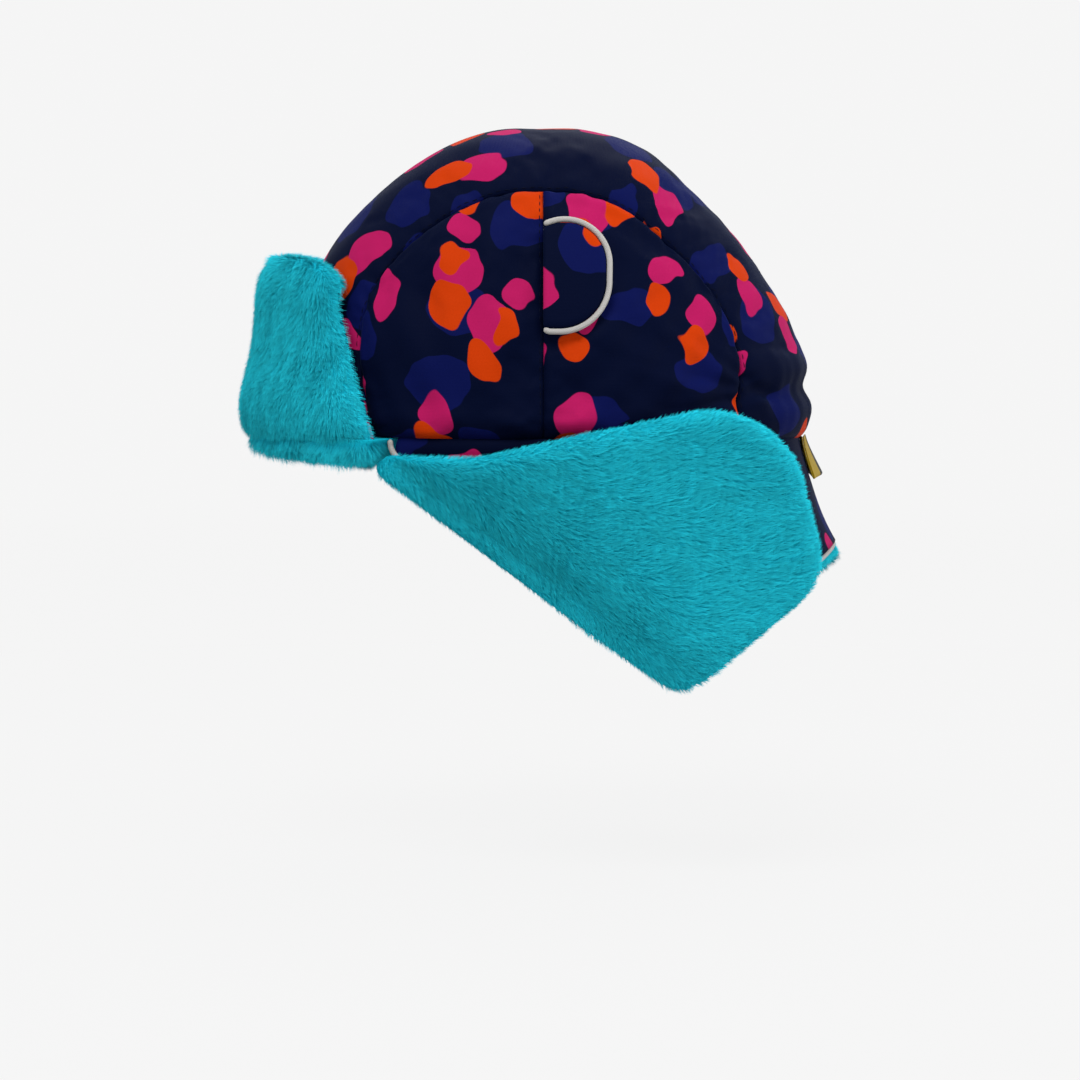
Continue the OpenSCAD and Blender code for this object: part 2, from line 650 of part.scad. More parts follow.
// Corners of the section: share of the way forward, and share of the roll's height downwards
facing_corners = [[0.9, 0.03], [1, 0.25], [1, 0.6], [0.8, 1], [0.4, 1], [0, 0.7], [0, 0.03]];
function facing_section(q) =
    let (out = front_middle(q, 0), x = out.x * facing_narrowing,
         in = [x, -crown_front * sqrt(1 - pow(abs(x) / crown_half_width, side_power)), 0],
         ahead = unit([out.x - in.x, out.y - in.y, 0]),
         front = out + ahead * (lobe_half_t - facing_set_back), back = in - ahead * facing_inner)
    [for (corner = facing_corners)
        [mix(back.x, front.x, corner.x), mix(back.y, front.y, corner.x), -facing_t * corner.y]];
module front_fur_facing() {
    color(turquoise)
    ring_solid([for (c = [0:front_cells]) facing_section((2 * c / front_cells - 1) * facing_share)]);
}

// Side tab: a round-edged flap sewn into the upright seam, lying on the crown
tab_points = 28;
tab_seam_r = 1.5;
tab_free_r = tab_depth * 0.72;
// Height at the seam, as a share of the whole height
tab_seam_share = 0.9;
tab_foot = side_seam_y + ease_gap;
tab_end = side_seam_y + tab_depth;
tab_outline = even_loop(rounded([
    [tab_foot, tab_z, tab_seam_r], [tab_end, tab_z, tab_free_r],
    [tab_end, tab_z + tab_h, tab_free_r],
    [tab_foot, tab_z + tab_h * tab_seam_share, tab_seam_r]]), tab_points);
tab_middle = total(tab_outline) / tab_points;
// The piping ends this far from the seam
tab_piping_offset = side_seam_y + 3;
function over_crown(y, z, height) = below_crown(crown_beside(y, z), -height);
function tab_ring(r, height) =
    [for (q = tab_outline) let (w = mix(tab_middle, q, r)) over_crown(w.x, w.y, height)];
module side_tab() {
    color(navy)
    ring_solid([tab_ring(inner_ring, ease_gap), tab_ring(1, ease_gap),
                tab_ring(1, ease_gap + tab_t), tab_ring(inner_ring, ease_gap + tab_t)]);
}
module side_tab_piping() {
    clear = piping_d / 2 + ease_gap;
    free = [for (q = spread(tab_outline, clear)) if (q.x > tab_piping_offset) q];
    color(silver)
    tube([for (q = free) over_crown(q.x, q.y, ease_gap + piping_d / 2)], piping_d);
}

module on_right() { mirror([1, 0, 0]) children(); }

crown_center_strip();
front_side_panel();  // left_front_side_panel
rear_side_panel();  // left_rear_side_panel
on_right() front_side_panel();  // right_front_side_panel
on_right() rear_side_panel();  // right_rear_side_panel
center_wadding();
side_wadding();  // left_wadding
on_right() side_wadding();  // right_wadding
center_lining();
side_lining();  // left_lining
on_right() side_lining();  // right_lining
rear_elastic();
hem_binding();
front_fur_facing();
front_flap_backing();
front_flap_fur();
ear_base_shell();  // left_ear_base_shell
ear_base_fur();  // left_ear_base_fur
ear_base_piping();  // left_ear_base_piping
on_right() ear_base_shell();  // right_ear_base_shell
on_right() ear_base_fur();  // right_ear_base_fur
on_right() ear_base_piping();  // right_ear_base_piping
neck_flap_shell();
neck_flap_fur();
neck_flap_piping();
label_loop();
ear_lobe_shell();  // left_ear_lobe_shell
ear_lobe_fur();  // left_ear_lobe_fur
ear_lobe_piping();  // left_ear_lobe_piping
chin_loop_patch();
on_right() ear_lobe_shell();  // right_ear_lobe_shell
on_right() ear_lobe_fur();  // right_ear_lobe_fur
on_right() ear_lobe_piping();  // right_ear_lobe_piping
on_right() chin_hook_patch();
side_tab();  // left_side_tab
side_tab_piping();  // left_side_tab_piping
on_right() side_tab();  // right_side_tab
on_right() side_tab_piping();  // right_side_tab_piping
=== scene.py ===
import math

import bpy
import numpy as np
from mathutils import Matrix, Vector


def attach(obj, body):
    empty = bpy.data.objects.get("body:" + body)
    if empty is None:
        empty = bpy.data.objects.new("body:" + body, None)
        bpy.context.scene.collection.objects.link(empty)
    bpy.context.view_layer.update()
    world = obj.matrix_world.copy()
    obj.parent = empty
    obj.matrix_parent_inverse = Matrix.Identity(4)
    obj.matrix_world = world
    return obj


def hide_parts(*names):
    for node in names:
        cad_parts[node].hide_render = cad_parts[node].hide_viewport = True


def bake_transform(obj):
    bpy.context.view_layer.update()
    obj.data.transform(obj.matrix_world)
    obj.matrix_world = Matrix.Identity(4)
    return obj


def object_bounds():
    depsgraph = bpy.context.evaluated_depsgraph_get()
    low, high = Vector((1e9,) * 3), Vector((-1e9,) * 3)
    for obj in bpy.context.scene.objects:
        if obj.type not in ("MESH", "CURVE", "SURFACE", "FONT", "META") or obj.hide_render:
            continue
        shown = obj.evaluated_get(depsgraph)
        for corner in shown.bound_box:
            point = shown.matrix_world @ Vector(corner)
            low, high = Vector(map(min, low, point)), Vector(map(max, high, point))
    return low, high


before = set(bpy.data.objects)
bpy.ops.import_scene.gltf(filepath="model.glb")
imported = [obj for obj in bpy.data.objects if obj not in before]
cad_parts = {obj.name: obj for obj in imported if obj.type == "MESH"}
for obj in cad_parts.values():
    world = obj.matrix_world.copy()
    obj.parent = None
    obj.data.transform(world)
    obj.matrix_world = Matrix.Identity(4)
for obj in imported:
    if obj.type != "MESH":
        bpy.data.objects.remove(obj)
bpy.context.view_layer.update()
scene = bpy.context.scene
scene.view_settings.view_transform = "Standard"

# Crown panels
# A strip over the head and two panels on each side are cut from printed microfibre and sewn into a
# dome. Their seams draw the cloth in, and the wadding under it presses it out between them.
MM = 0.001
both_sides = ((1, "left"), (-1, "right"))
crown_radii = np.array([104.0, 114.0, 122.0, 124.0, 114.0, 107.0, 104.0])
crown_half_width = 83.0
side_power = 2.2
waist_z = 19.0
waist_draw = 2.0
waist_spread = 3.0
waist_angle = 180 - math.degrees(math.atan(waist_z / crown_radii[-1]))
crown_swells = ((52, 14, -1.5), (88, 7, -1.9), (110, 10, 1.5), (119, 9, -2.1), (138, 15, -2.4))
nape_rolls = ((27, 7, 2.1), (12, 7, 1.0))
rear_start = 60
rear_run = 30
strip_half_width = 52.0
strip_hem_half_width = 60.0
strip_flare_power = 10
side_seam_y = -4.0
seam_gap = 0.04
seam_draw = 1.6
seam_power = 8
shell_t = 1.2


def unit(v):
    """Vectors along the last axis brought to length one."""
    return v / np.maximum(np.linalg.norm(v, axis=-1, keepdims=True), 1e-12)


def mix(a, b, t):
    """The way from a to b by the share t."""
    return a + (b - a) * t


def bell(x, middle, spread):
    """Bell curve of height one: e to the minus square of the distance from the middle over the spread."""
    return np.exp(-(((x - middle) / spread) ** 2))


def ramp(x, start, run):
    """0 up to a start, 1 from a run beyond it, and straight between them."""
    return np.clip((x - start) / run, 0, 1)


def side_angle(y, z):
    """Side-view angle of a place in degrees, from the forehead over the top."""
    return np.degrees(np.arctan2(z, -y))


def crown_radius(a):
    """Radius of the dome's middle line at side-view angle a in degrees, from the forehead: a cosine
    series through seven radii, less a narrow dip where the elastic draws in the nape."""
    last = len(crown_radii) - 1
    k = np.arange(last + 1)
    ends = np.where((k == 0) | (k == last), 0.5, 1.0)
    terms = ends * 2 / last * (np.cos(np.pi * np.outer(k, k) / last) @ (ends * crown_radii))
    a = np.asarray(a, float)
    series = np.cos(np.radians(a)[..., None] * k) @ terms
    return series - waist_draw * bell(a, waist_angle, waist_spread)


def crown_at(a, x):
    """Point at side-view angle a and sideways place x: the middle line shrinks as a superellipse."""
    rho = crown_radius(a) * np.sqrt(1 - (np.abs(x) / crown_half_width) ** side_power)
    turn = np.radians(a)
    return np.stack(np.broadcast_arrays(x, -rho * np.cos(turn), rho * np.sin(turn)), -1)


def crown_beside(y, z):
    """Point of the dome's left side at a side-view place (y, z), from the same superellipse."""
    share = np.hypot(y, z) / crown_radius(side_angle(y, z))
    return np.stack([crown_half_width * np.maximum(0, 1 - share**2) ** (1 / side_power), y, z], -1)


def side_slope(x):
    """Slope of (x / half width) ^ power, with the sign of x."""
    return side_power / crown_half_width * np.sign(x) * (np.abs(x) / crown_half_width) ** (side_power - 1)


def crown_normal(p):
    """Outward normal: the gradient of (x / half width) ^ power + (radius / middle line's radius) ^ 2,
    with the slope of that radius taken over one degree."""
    x, y, z = np.moveaxis(p, -1, 0)
    a = side_angle(y, z)
    turn = np.radians(a)
    rho = np.hypot(y, z)
    r = crown_radius(a)
    slope = (crown_radius(a + 0.5) - crown_radius(a - 0.5)) * 180 / np.pi
    outward = 2 * rho / r**2
    around = -2 * rho * slope / r**3
    forward = -outward * np.cos(turn) + around * np.sin(turn)
    upward = outward * np.sin(turn) + around * np.cos(turn)
    return unit(np.stack([side_slope(x), forward, upward], -1))


def below_crown(p, depth):
    """Points of the dome set inwards by a depth, square to it."""
    return p - np.asarray(depth)[..., None] * crown_normal(p)


def crown_form(p):
    """How far the filled crown stands out from the dome: bell curves of the height for the rolls above and
    below the nape elastic, and bell curves of the side-view angle, less and less towards the sides, for
    where it is slack or full over the head."""
    x, y, z = np.moveaxis(p, -1, 0)
    nape = sum(rise * bell(z, middle, spread) for middle, spread, rise in nape_rolls)
    swell = sum(rise * bell(side_angle(y, z), middle, spread) for middle, spread, rise in crown_swells)
    return ramp(y, rear_start, rear_run) * nape + swell * (1 - (x / crown_half_width) ** 2)


def strip_half(a):
    """Half width of the strip at angle a: constant over the head, flared close to the hem."""
    return mix(strip_half_width, strip_hem_half_width, np.abs(np.cos(np.radians(a))) ** strip_flare_power)


def strip_grid(rows, cols, depth, draw):
    """Grid of the strip at a depth: rows from the forehead to the nape, columns from right to left of
    the head, and both seams drawn in by a high power of the place across."""
    a, across = np.meshgrid(np.linspace(0, 180, rows), np.linspace(-1, 1, cols), indexing="ij")
    grid = crown_at(a, (strip_half(a) - seam_gap / 2) * across)
    return below_crown(grid, depth + draw * across**seam_power - crown_form(grid))


def arch(a):
    """Side-view place of the seam between strip and side at angle a."""
    return crown_at(a, strip_half(a) + seam_gap / 2)[..., 1:]


arch_seam_angle = math.degrees(math.acos(-side_seam_y / np.linalg.norm(arch(np.array(90.0)))))
front_patch = (0.0, 38.0, arch_seam_angle, -0.5)
rear_patch = (180.0, 140.0, arch_seam_angle, 0.5)


def patch_grid(patch, rows, cols, gap, depth, draw):
    """Grid of a front or rear side panel: the four edges (hem, arch beside the hem, arch over the top,
    upright seam) blended as a Coons patch in side view, then laid on the dome and set inwards."""
    foot, corner, head, way = patch
    t, s = np.meshgrid(np.linspace(0, 1, rows), np.linspace(0, 1, cols), indexing="ij")
    shift = np.array([way * gap, 0])
    seam_foot = np.array([side_seam_y, 0]) + shift
    seam_head = arch(np.array(head)) + shift
    t2, s2 = t[..., None], s[..., None]
    side = mix(arch(mix(foot, corner, t)), mix(seam_foot, seam_head, t2), s2)
    top = arch(mix(corner, head, s)) + shift * (s2 == 1)
    bottom = mix(arch(np.array(foot)), seam_foot, s2)
    corners = mix(bottom, mix(arch(np.array(corner)), seam_head, s2), t2)
    q = side + mix(bottom, top, t2) - corners
    drawn = np.maximum(np.abs(2 * s - 1) ** seam_power, t**seam_power)
    grid = crown_beside(q[..., 0], np.maximum(0, q[..., 1]))
    grid = below_crown(grid, depth + draw * drawn - crown_form(grid))
    return grid if way < 0 else grid[:, ::-1]


def side_grid(rows, cols, depth, draw):
    """The front and rear patch of a side end to end, for layers that have no upright seam."""
    front = patch_grid(front_patch, rows, cols, 0, depth, draw)
    return np.concatenate([front, patch_grid(rear_patch, rows, cols, 0, depth, draw)[:, 1:]], 1)


def cells_of(rows, cols):
    """Quads of a grid, anticlockwise where columns run right and rows run up."""
    n = np.arange(rows * cols).reshape(rows, cols)
    return np.stack([n[:-1, :-1], n[:-1, 1:], n[1:, 1:], n[1:, :-1]], -1).reshape(-1, 4)


def slab(outer, inner):
    """Closed sheet between two grids of one size: both faces, and a rim round the four edges."""
    rows, cols = outer.shape[:2]
    n = np.arange(rows * cols).reshape(rows, cols)
    rim = np.concatenate([n[0, :], n[1:, -1], n[-1, -2::-1], n[-2:0:-1, 0]])
    after = np.roll(rim, -1)
    back = rows * cols
    front_faces = cells_of(rows, cols)
    sides = np.stack([after, rim, rim + back, after + back], -1)
    points = np.concatenate([outer.reshape(-1, 3), inner.reshape(-1, 3)])
    return points, [front_faces, front_faces[:, ::-1] + back, sides]


def new_piece(name, points, faces, uv, material, side=1, uv_name="cloth"):
    """Mesh object at the origin from points in millimetres and index arrays of faces. For the right
    side of the hat the points are mirrored and the faces turned round."""
    if side < 0:
        points = points * [-1, 1, 1]
        faces = [f[:, ::-1] for f in faces]
    corners = np.concatenate([f.ravel() for f in faces]).astype(np.int32)
    sizes = np.concatenate([np.full(len(f), f.shape[1]) for f in faces])
    mesh = bpy.data.meshes.new(name)
    mesh.vertices.add(len(points))
    mesh.vertices.foreach_set("co", (points * MM).astype(np.float32).ravel())
    mesh.loops.add(len(corners))
    mesh.loops.foreach_set("vertex_index", corners)
    mesh.polygons.add(len(sizes))
    mesh.polygons.foreach_set("loop_start", (np.cumsum(sizes) - sizes).astype(np.int32))
    mesh.polygons.foreach_set("use_smooth", np.ones(len(sizes), bool))
    layer = mesh.uv_layers.new(name=uv_name)
    layer.data.foreach_set("uv", (uv * MM)[corners].astype(np.float32).ravel())
    mesh.update(calc_edges=True)
    mesh.materials.append(material)
    obj = bpy.data.objects.new(name, mesh)
    scene.collection.objects.link(obj)
    return obj


def sheet_between(name, front, back, material, side, uv, shift=(0, 0), close=slab):
    """A piece between its outer and inner grid, with one set of flat coordinates, shifted, on both faces."""
    points, faces = close(front, back)
    return new_piece(name, points, faces, np.tile(uv.reshape(-1, 2) + shift, (2, 1)), material, side)


def fix(piece, body, node=None, bend=None):
    """Fixes a piece to a body or, where it is given a bend, bakes its place into its points instead, and
    hides the node that it replaces."""
    if bend:
        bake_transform(piece)
    else:
        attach(piece, body)
    if node:
        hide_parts(node)


def lay_flat(grid):
    """Flat cloth coordinates of a grid in millimetres: lengths summed along the columns from the middle
    one, and along the rows from the first."""
    across = np.linalg.norm(np.diff(grid, axis=1), axis=-1)
    along = np.linalg.norm(np.diff(grid, axis=0), axis=-1)
    u = np.concatenate([np.zeros((len(grid), 1)), np.cumsum(across, 1)], 1)
    v = np.concatenate([np.zeros((1, grid.shape[1])), np.cumsum(along, 0)], 0)
    return np.stack([u - u[:, u.shape[1] // 2, None], v], -1)


def cell_areas(grid):
    """Area of each cell of a grid: half the cross product of its diagonals."""
    a, b = grid[1:, 1:] - grid[:-1, :-1], grid[1:, :-1] - grid[:-1, 1:]
    return np.linalg.norm(np.cross(a, b), axis=-1) / 2


def finer(grid, rows, cols):
    """The grid carried to the given row and column places, from 0 to 1, by Catmull-Rom weights."""

    def weights(places, count):
        """Share of each of four neighbours in the value at a place, as a row of a table."""
        at = np.clip(places, 0, 1) * (count - 1)
        i = np.minimum(at.astype(int), count - 2)
        f = at - i
        before = -f / 2 + f**2 - f**3 / 2
        here = 1 - 2.5 * f**2 + 1.5 * f**3
        after = f / 2 + 2 * f**2 - 1.5 * f**3
        beyond = (f**3 - f**2) / 2
        table = np.zeros((len(places), count))
        for step, term in zip((-1, 0, 1, 2), (before, here, after, beyond)):
            np.add.at(table, (np.arange(len(places)), np.clip(i + step, 0, count - 1)), term)
        return table

    return np.einsum("ar,rcx,bc->abx", weights(rows, len(grid)), grid, weights(cols, grid.shape[1]))


def fill_out(grid, ease, pressure, reach, give, frames=16):
    """Cloth simulation of a sewn panel: its edges stay, the cloth is cut larger than its place by the
    ease, and the wadding presses it out. No point rises further than reach, slides further than a
    millimetre, or sinks into the wadding by more than a share of the reach, its give."""
    rows, cols = grid.shape[:2]
    uv = lay_flat(grid).reshape(-1, 2)
    trial = new_piece("panel_trial", grid.reshape(-1, 3), [cells_of(rows, cols)], uv, None)
    n = np.arange(rows * cols).reshape(rows, cols)
    edges = np.unique(np.concatenate([n[0], n[-1], n[:, 0], n[:, -1]]))
    trial.vertex_groups.new(name="seams").add(edges.tolist(), 1.0, "REPLACE")
    cloth = trial.modifiers.new("wadding", "CLOTH")
    cloth.point_cache.frame_start = 1
    cloth.point_cache.frame_end = frames
    cloth.settings.quality = 8
    cloth.settings.mass = 0.05
    cloth.settings.vertex_group_mass = "seams"
    cloth.settings.tension_stiffness = 20
    cloth.settings.compression_stiffness = 20
    cloth.settings.shear_stiffness = 8
    cloth.settings.bending_stiffness = 0.02
    cloth.settings.shrink_min = -ease
    cloth.settings.use_pressure = True
    cloth.settings.uniform_pressure_force = pressure
    cloth.settings.effector_weights.gravity = 0
    for number in range(1, frames + 1):
        scene.frame_set(number)
    shown = trial.evaluated_get(bpy.context.evaluated_depsgraph_get()).data
    moved = np.zeros(rows * cols * 3, np.float32)
    shown.vertices.foreach_get("co", moved)
    scene.frame_set(1)
    bpy.data.objects.remove(trial)
    step = moved.reshape(grid.shape) / MM - grid
    normal = crown_normal(grid)
    rise = np.sum(step * normal, -1, keepdims=True)
    slide = step - rise * normal
    slide = slide * np.minimum(1, 1 / np.maximum(np.linalg.norm(slide, axis=-1, keepdims=True), 1e-9))
    return grid + slide + reach * np.tanh(np.maximum(rise, -give * reach) / reach) * normal


def shade(material, kind, inputs, **settings):
    """One shader node with its settings, and its inputs set or linked."""
    node = material.node_tree.nodes.new(kind)
    for name, value in settings.items():
        setattr(node, name, value)
    for name, value in inputs.items():
        if isinstance(value, bpy.types.NodeSocket):
            material.node_tree.links.new(value, node.inputs[name])
        else:
            node.inputs[name].default_value = value
    return node


def reckon(material, operation, a, b):
    """A Math node's result."""
    return shade(material, "ShaderNodeMath", {0: a, 1: b}, operation=operation).outputs[0]


def carried(material, value, low, high):
    """A value of 0 to 1 carried to low to high."""
    ends = {"Value": value, "To Min": low, "To Max": high}
    return shade(material, "ShaderNodeMapRange", ends).outputs[0]


def share_of(material, value, low, high):
    """0 where a value is low, 1 where it is high, and straight between them."""
    ends = {"Value": value, "From Min": low, "From Max": high}
    return shade(material, "ShaderNodeMapRange", ends).outputs[0]


def layered(material, mask, under, over):
    """One colour over another where a mask is set."""
    return shade(material, "ShaderNodeMixRGB", {"Fac": mask, "Color1": under, "Color2": over}).outputs[0]


def noise(material, place, scale, detail):
    """Fractal noise between 0 and 1 at a place."""
    grain = {"Vector": place, "Scale": scale, "Detail": detail}
    return shade(material, "ShaderNodeTexNoise", grain).outputs["Fac"]


def flat_place(material):
    """The piece's own flat cloth coordinates, in metres."""
    return shade(material, "ShaderNodeUVMap", {}, uv_map="cloth").outputs[0]


def colour(red, green, blue):
    """A colour given in the 0 to 255 of a screen, as the shader takes it."""
    share = np.array([red, green, blue]) / 255
    linear = np.where(share < 0.04045, share / 12.92, ((share + 0.055) / 1.055) ** 2.4)
    return (*linear.tolist(), 1.0)


def shader_of(material):
    """The Principled shader of a material."""
    return material.node_tree.nodes["Principled BSDF"]


def new_material(name, roughness, sheen, specular):
    """A Principled material with its even values on the shader's own sockets."""
    material = bpy.data.materials.new(name)
    material.use_nodes = True
    shader = shader_of(material)
    shader.inputs["Roughness"].default_value = roughness
    shader.inputs["Specular IOR Level"].default_value = specular
    shader.inputs["Sheen Weight"].default_value = sheen
    shader.inputs["Sheen Roughness"].default_value = 0.45
    return material


def dress(material, tone, height=None, strength=0.0, depth=0.0):
    """Gives a material its colour and, as bump of a strength and a depth in metres, its height."""
    shader = shader_of(material)
    material.node_tree.links.new(tone, shader.inputs["Base Color"])
    if height is not None:
        bump = shade(material, "ShaderNodeBump", {"Height": height, "Strength": strength, "Distance": depth})
        material.node_tree.links.new(bump.outputs[0], shader.inputs["Normal"])


def weave(material, place, pitch):
    """Height of a plain weave: two crossing waves, one thread's pitch apart in metres. At scale one the
    node's waves are 0.314 long."""
    scale = 0.314 / pitch
    warp = shade(material, "ShaderNodeTexWave", {"Vector": place, "Scale": scale}, bands_direction="X")
    weft = shade(material, "ShaderNodeTexWave", {"Vector": place, "Scale": scale}, bands_direction="Y")
    return reckon(material, "MULTIPLY", warp.outputs["Fac"], weft.outputs["Fac"])


def spots(material, place, spacing, turn, shift, used, least, most):
    """Mask of irregular pebbles: the distance from a Voronoi cell's point is under a radius that differs
    from cell to cell, and a share of the cells stays empty."""
    put = shade(
        material,
        "ShaderNodeMapping",
        {
            "Vector": place,
            "Location": shift,
            "Rotation": (0, 0, turn),
            "Scale": (1 / spacing[0], 1 / spacing[1], 1),
        },
    )
    cell = shade(
        material,
        "ShaderNodeTexVoronoi",
        {"Vector": put.outputs[0], "Scale": 1.0, "Randomness": 0.8},
        voronoi_dimensions="2D",
    )
    chance = shade(material, "ShaderNodeSeparateColor", {"Color": cell.outputs["Color"]})
    radius = carried(material, chance.outputs[0], least, most)
    inside = reckon(material, "SUBTRACT", radius, cell.outputs["Distance"])
    filled = reckon(material, "LESS_THAN", chance.outputs[1], used)
    return reckon(material, "MULTIPLY", share_of(material, inside, 0.0, 0.01), filled)


# Each layer of spots: spacing in metres, turn, shift, share of cells used, least and most radius, colour.
print_spots = (
    ((0.038, 0.031), 0.5, (3.1, 1.7, 0), 0.75, 0.24, 0.38, colour(9, 17, 71)),
    ((0.032, 0.038), -0.6, (0.4, 5.2, 0), 0.66, 0.17, 0.3, colour(173, 24, 87)),
    ((0.032, 0.038), -0.6, (0.72, 5.42, 0), 0.6, 0.15, 0.27, colour(191, 55, 4)),
)
print_bend = (0.015, 0.015, 0.0)
print_cloth = new_material("printed_microfibre", roughness=0.6, sheen=0.03, specular=0.02)
shader_of(print_cloth).inputs["Sheen Tint"].default_value = colour(137, 174, 255)
print_place = flat_place(print_cloth)
print_warp = shade(print_cloth, "ShaderNodeTexNoise", {"Vector": print_place, "Scale": 60.0, "Detail": 1.0})
print_shift = shade(
    print_cloth,
    "ShaderNodeVectorMath",
    {0: print_warp.outputs["Color"], 1: (0.5, 0.5, 0.5)},
    operation="SUBTRACT",
)
print_bent = shade(
    print_cloth,
    "ShaderNodeVectorMath",
    {0: print_shift.outputs[0], 1: print_bend, 2: print_place},
    operation="MULTIPLY_ADD",
).outputs[0]
print_colour = colour(3, 9, 35)
for *pebbles, tint in print_spots:
    print_colour = layered(print_cloth, spots(print_cloth, print_bent, *pebbles), print_colour, tint)
print_grain = noise(print_cloth, print_place, scale=900.0, detail=2.0)
print_height = reckon(print_cloth, "ADD", weave(print_cloth, print_place, pitch=0.00055), print_grain)
dress(print_cloth, print_colour, print_height, strength=0.25, depth=0.0002)

crown_start = 0.2
crown_ease = 0.008
crown_pressure = 1.2
crown_reach = 2.6
crown_give = 0.2
strip_places = np.linspace(0, 1, 241)
panel_edge_places = (1 - np.cos(np.linspace(0, np.pi, 81))) / 2
full_turn = 6.28
seam_roll = 1.5
seam_roll_fade = 0.9
pucker_lengths = (6, 17)
pucker_count = 5
pucker_height = 0.16
pucker_fade = 6
ruffle_lengths = (12, 18, 27, 40)
ruffle_run = 8
strip_ruffle = 0.2
side_ruffle = 0.75
hem_roll = 2.8
hem_roll_fade = 2.4
hem_swell = 0.9
hem_swell_at = 8
hem_swell_spread = 4.5
hem_sag = 2.2
hem_sag_spread = 7
gather_lengths = (7.1, 9.3, 12.7)
gather_height = 0.18
gather_start = 74
gather_run = 18
gather_spread = 12
crease_y = 84.0
crease_z = 17.0
crease_ways = (166.0, 143.0, 189.0)
crease_start = -6
crease_run = 8
crease_fade = 32
crease_depth = 1.5
crease_spread = 2.0
crease_lip = 0.8
crease_lip_at = 4
crease_lip_spread = 3
tab_dip_y = -4.0
tab_dip_z = 63.0
tab_dip_reach = (26.5, 23.5)
tab_dip_radius = 25
tab_dip_depth = 1.3
tab_dip_beyond = 2
tab_dip_spread = 2.8
tab_dip_seam = -2
tab_dip_seam_run = 5
tab_dip_top = 80
tab_dip_top_run = 10


def smooth_noise(p, seed, waves):
    """Smooth noise between about -1 and 1 at points: a sum of sines along random directions."""
    rng = np.random.default_rng(seed)
    total = 0
    for length in waves:
        way = unit(rng.normal(size=3)) * 2 * np.pi / length
        total = total + np.sin(p @ way + rng.uniform(0, 2 * np.pi))
    return total / np.sqrt(len(waves))


def nape_folds(p):
    """Height of the folds that the nape elastic makes: upright gathers across the band, as a sum of sines
    that fades above and below it, and creases with a lip that fan out forwards from the band's ends."""
    x, y, z = np.moveaxis(p, -1, 0)
    gathers = sum(np.sin(2 * np.pi * x / length + length) for length in gather_lengths)
    band = ramp(y, gather_start, gather_run) * bell(z, crease_z, gather_spread)
    height = gather_height * gathers * band
    for way in np.radians(crease_ways):
        ahead = (y - crease_y) * np.cos(way) + (z - crease_z) * np.sin(way)
        beside = (z - crease_z) * np.cos(way) - (y - crease_y) * np.sin(way)
        along = ramp(ahead, crease_start, crease_run) * np.exp(-np.maximum(ahead, 0) / crease_fade)
        lip = crease_lip * bell(beside, crease_lip_at, crease_lip_spread)
        height = height + along * (lip - crease_depth * bell(beside, 0, crease_spread))
    return np.maximum(height, -crease_depth)


def tab_dip(p):
    """Depth of the hollow that a side tab presses into the cloth: a bell curve of the distance beyond an
    ellipse, the tab's curved edge, which fades out at the upright seam and above the tab."""
    _, y, z = np.moveaxis(p, -1, 0)
    share = np.hypot((y - tab_dip_y) / tab_dip_reach[0], (z - tab_dip_z) / tab_dip_reach[1])
    fade = ramp(y, tab_dip_seam, tab_dip_seam_run) * ramp(-z, -tab_dip_top, tab_dip_top_run)
    return tab_dip_depth * bell((share - 1) * tab_dip_radius, tab_dip_beyond, tab_dip_spread) * fade


def sewn_panel(name, grid, rows, two_hems, shift, seed, side, node):
    """A crown panel: filled out, carried to a fine grid, and set inwards by a sum over its flat places:
    the roll and the puckers at its seams, the nape's folds, small ruffles, the tab's hollow, and the roll
    at its hem. The hem sags over the nape. The strip has a hem at both ends and no tab."""
    full = fill_out(grid, crown_ease, crown_pressure, crown_reach, crown_give)
    fine = finer(full, rows, panel_edge_places)
    uv = lay_flat(fine)
    if two_hems:
        uv[..., 1] = uv[..., 1].mean(1, keepdims=True)
    u, v = uv[..., 0], uv[..., 1]
    from_side = np.minimum(u - u[:, :1], u[:, -1:] - u)
    to_top = v[-1:] - v
    from_hem = np.minimum(v, to_top) if two_hems else v
    from_seam = from_side if two_hems else np.minimum(from_side, to_top)
    run = v if two_hems else np.where(from_side <= to_top, v, u)
    rng = np.random.default_rng(seed)
    lengths = rng.uniform(*pucker_lengths, pucker_count)
    puckers = sum(np.sin(2 * np.pi * run / length + rng.uniform(0, full_turn)) for length in lengths)
    roll = seam_roll * np.exp(-from_seam / seam_roll_fade)
    roll = roll - pucker_height * puckers * np.exp(-from_seam / pucker_fade) - nape_folds(fine)
    ruffle = strip_ruffle if two_hems else side_ruffle
    roll = roll + ruffle * smooth_noise(fine, seed + 90, ruffle_lengths) * ramp(from_seam, 0, ruffle_run)
    roll = roll + (0 if two_hems else tab_dip(fine))
    roll = roll + hem_roll * np.exp(-from_hem / hem_roll_fade)
    roll = roll - hem_swell * bell(from_hem, hem_swell_at, hem_swell_spread)
    sag = hem_sag * bell(from_hem, 0, hem_sag_spread) * ramp(fine[..., 1], rear_start, rear_run)
    sag = sag[..., None] * [0, 0, 1]
    outer = below_crown(fine, roll) - sag
    inner = below_crown(fine, roll + shell_t) - sag
    obj = sheet_between(name, outer, inner, print_cloth, side, uv, shift)
    fix(obj, "crown", node)
    finer(grid, rows, panel_edge_places)
    return outer


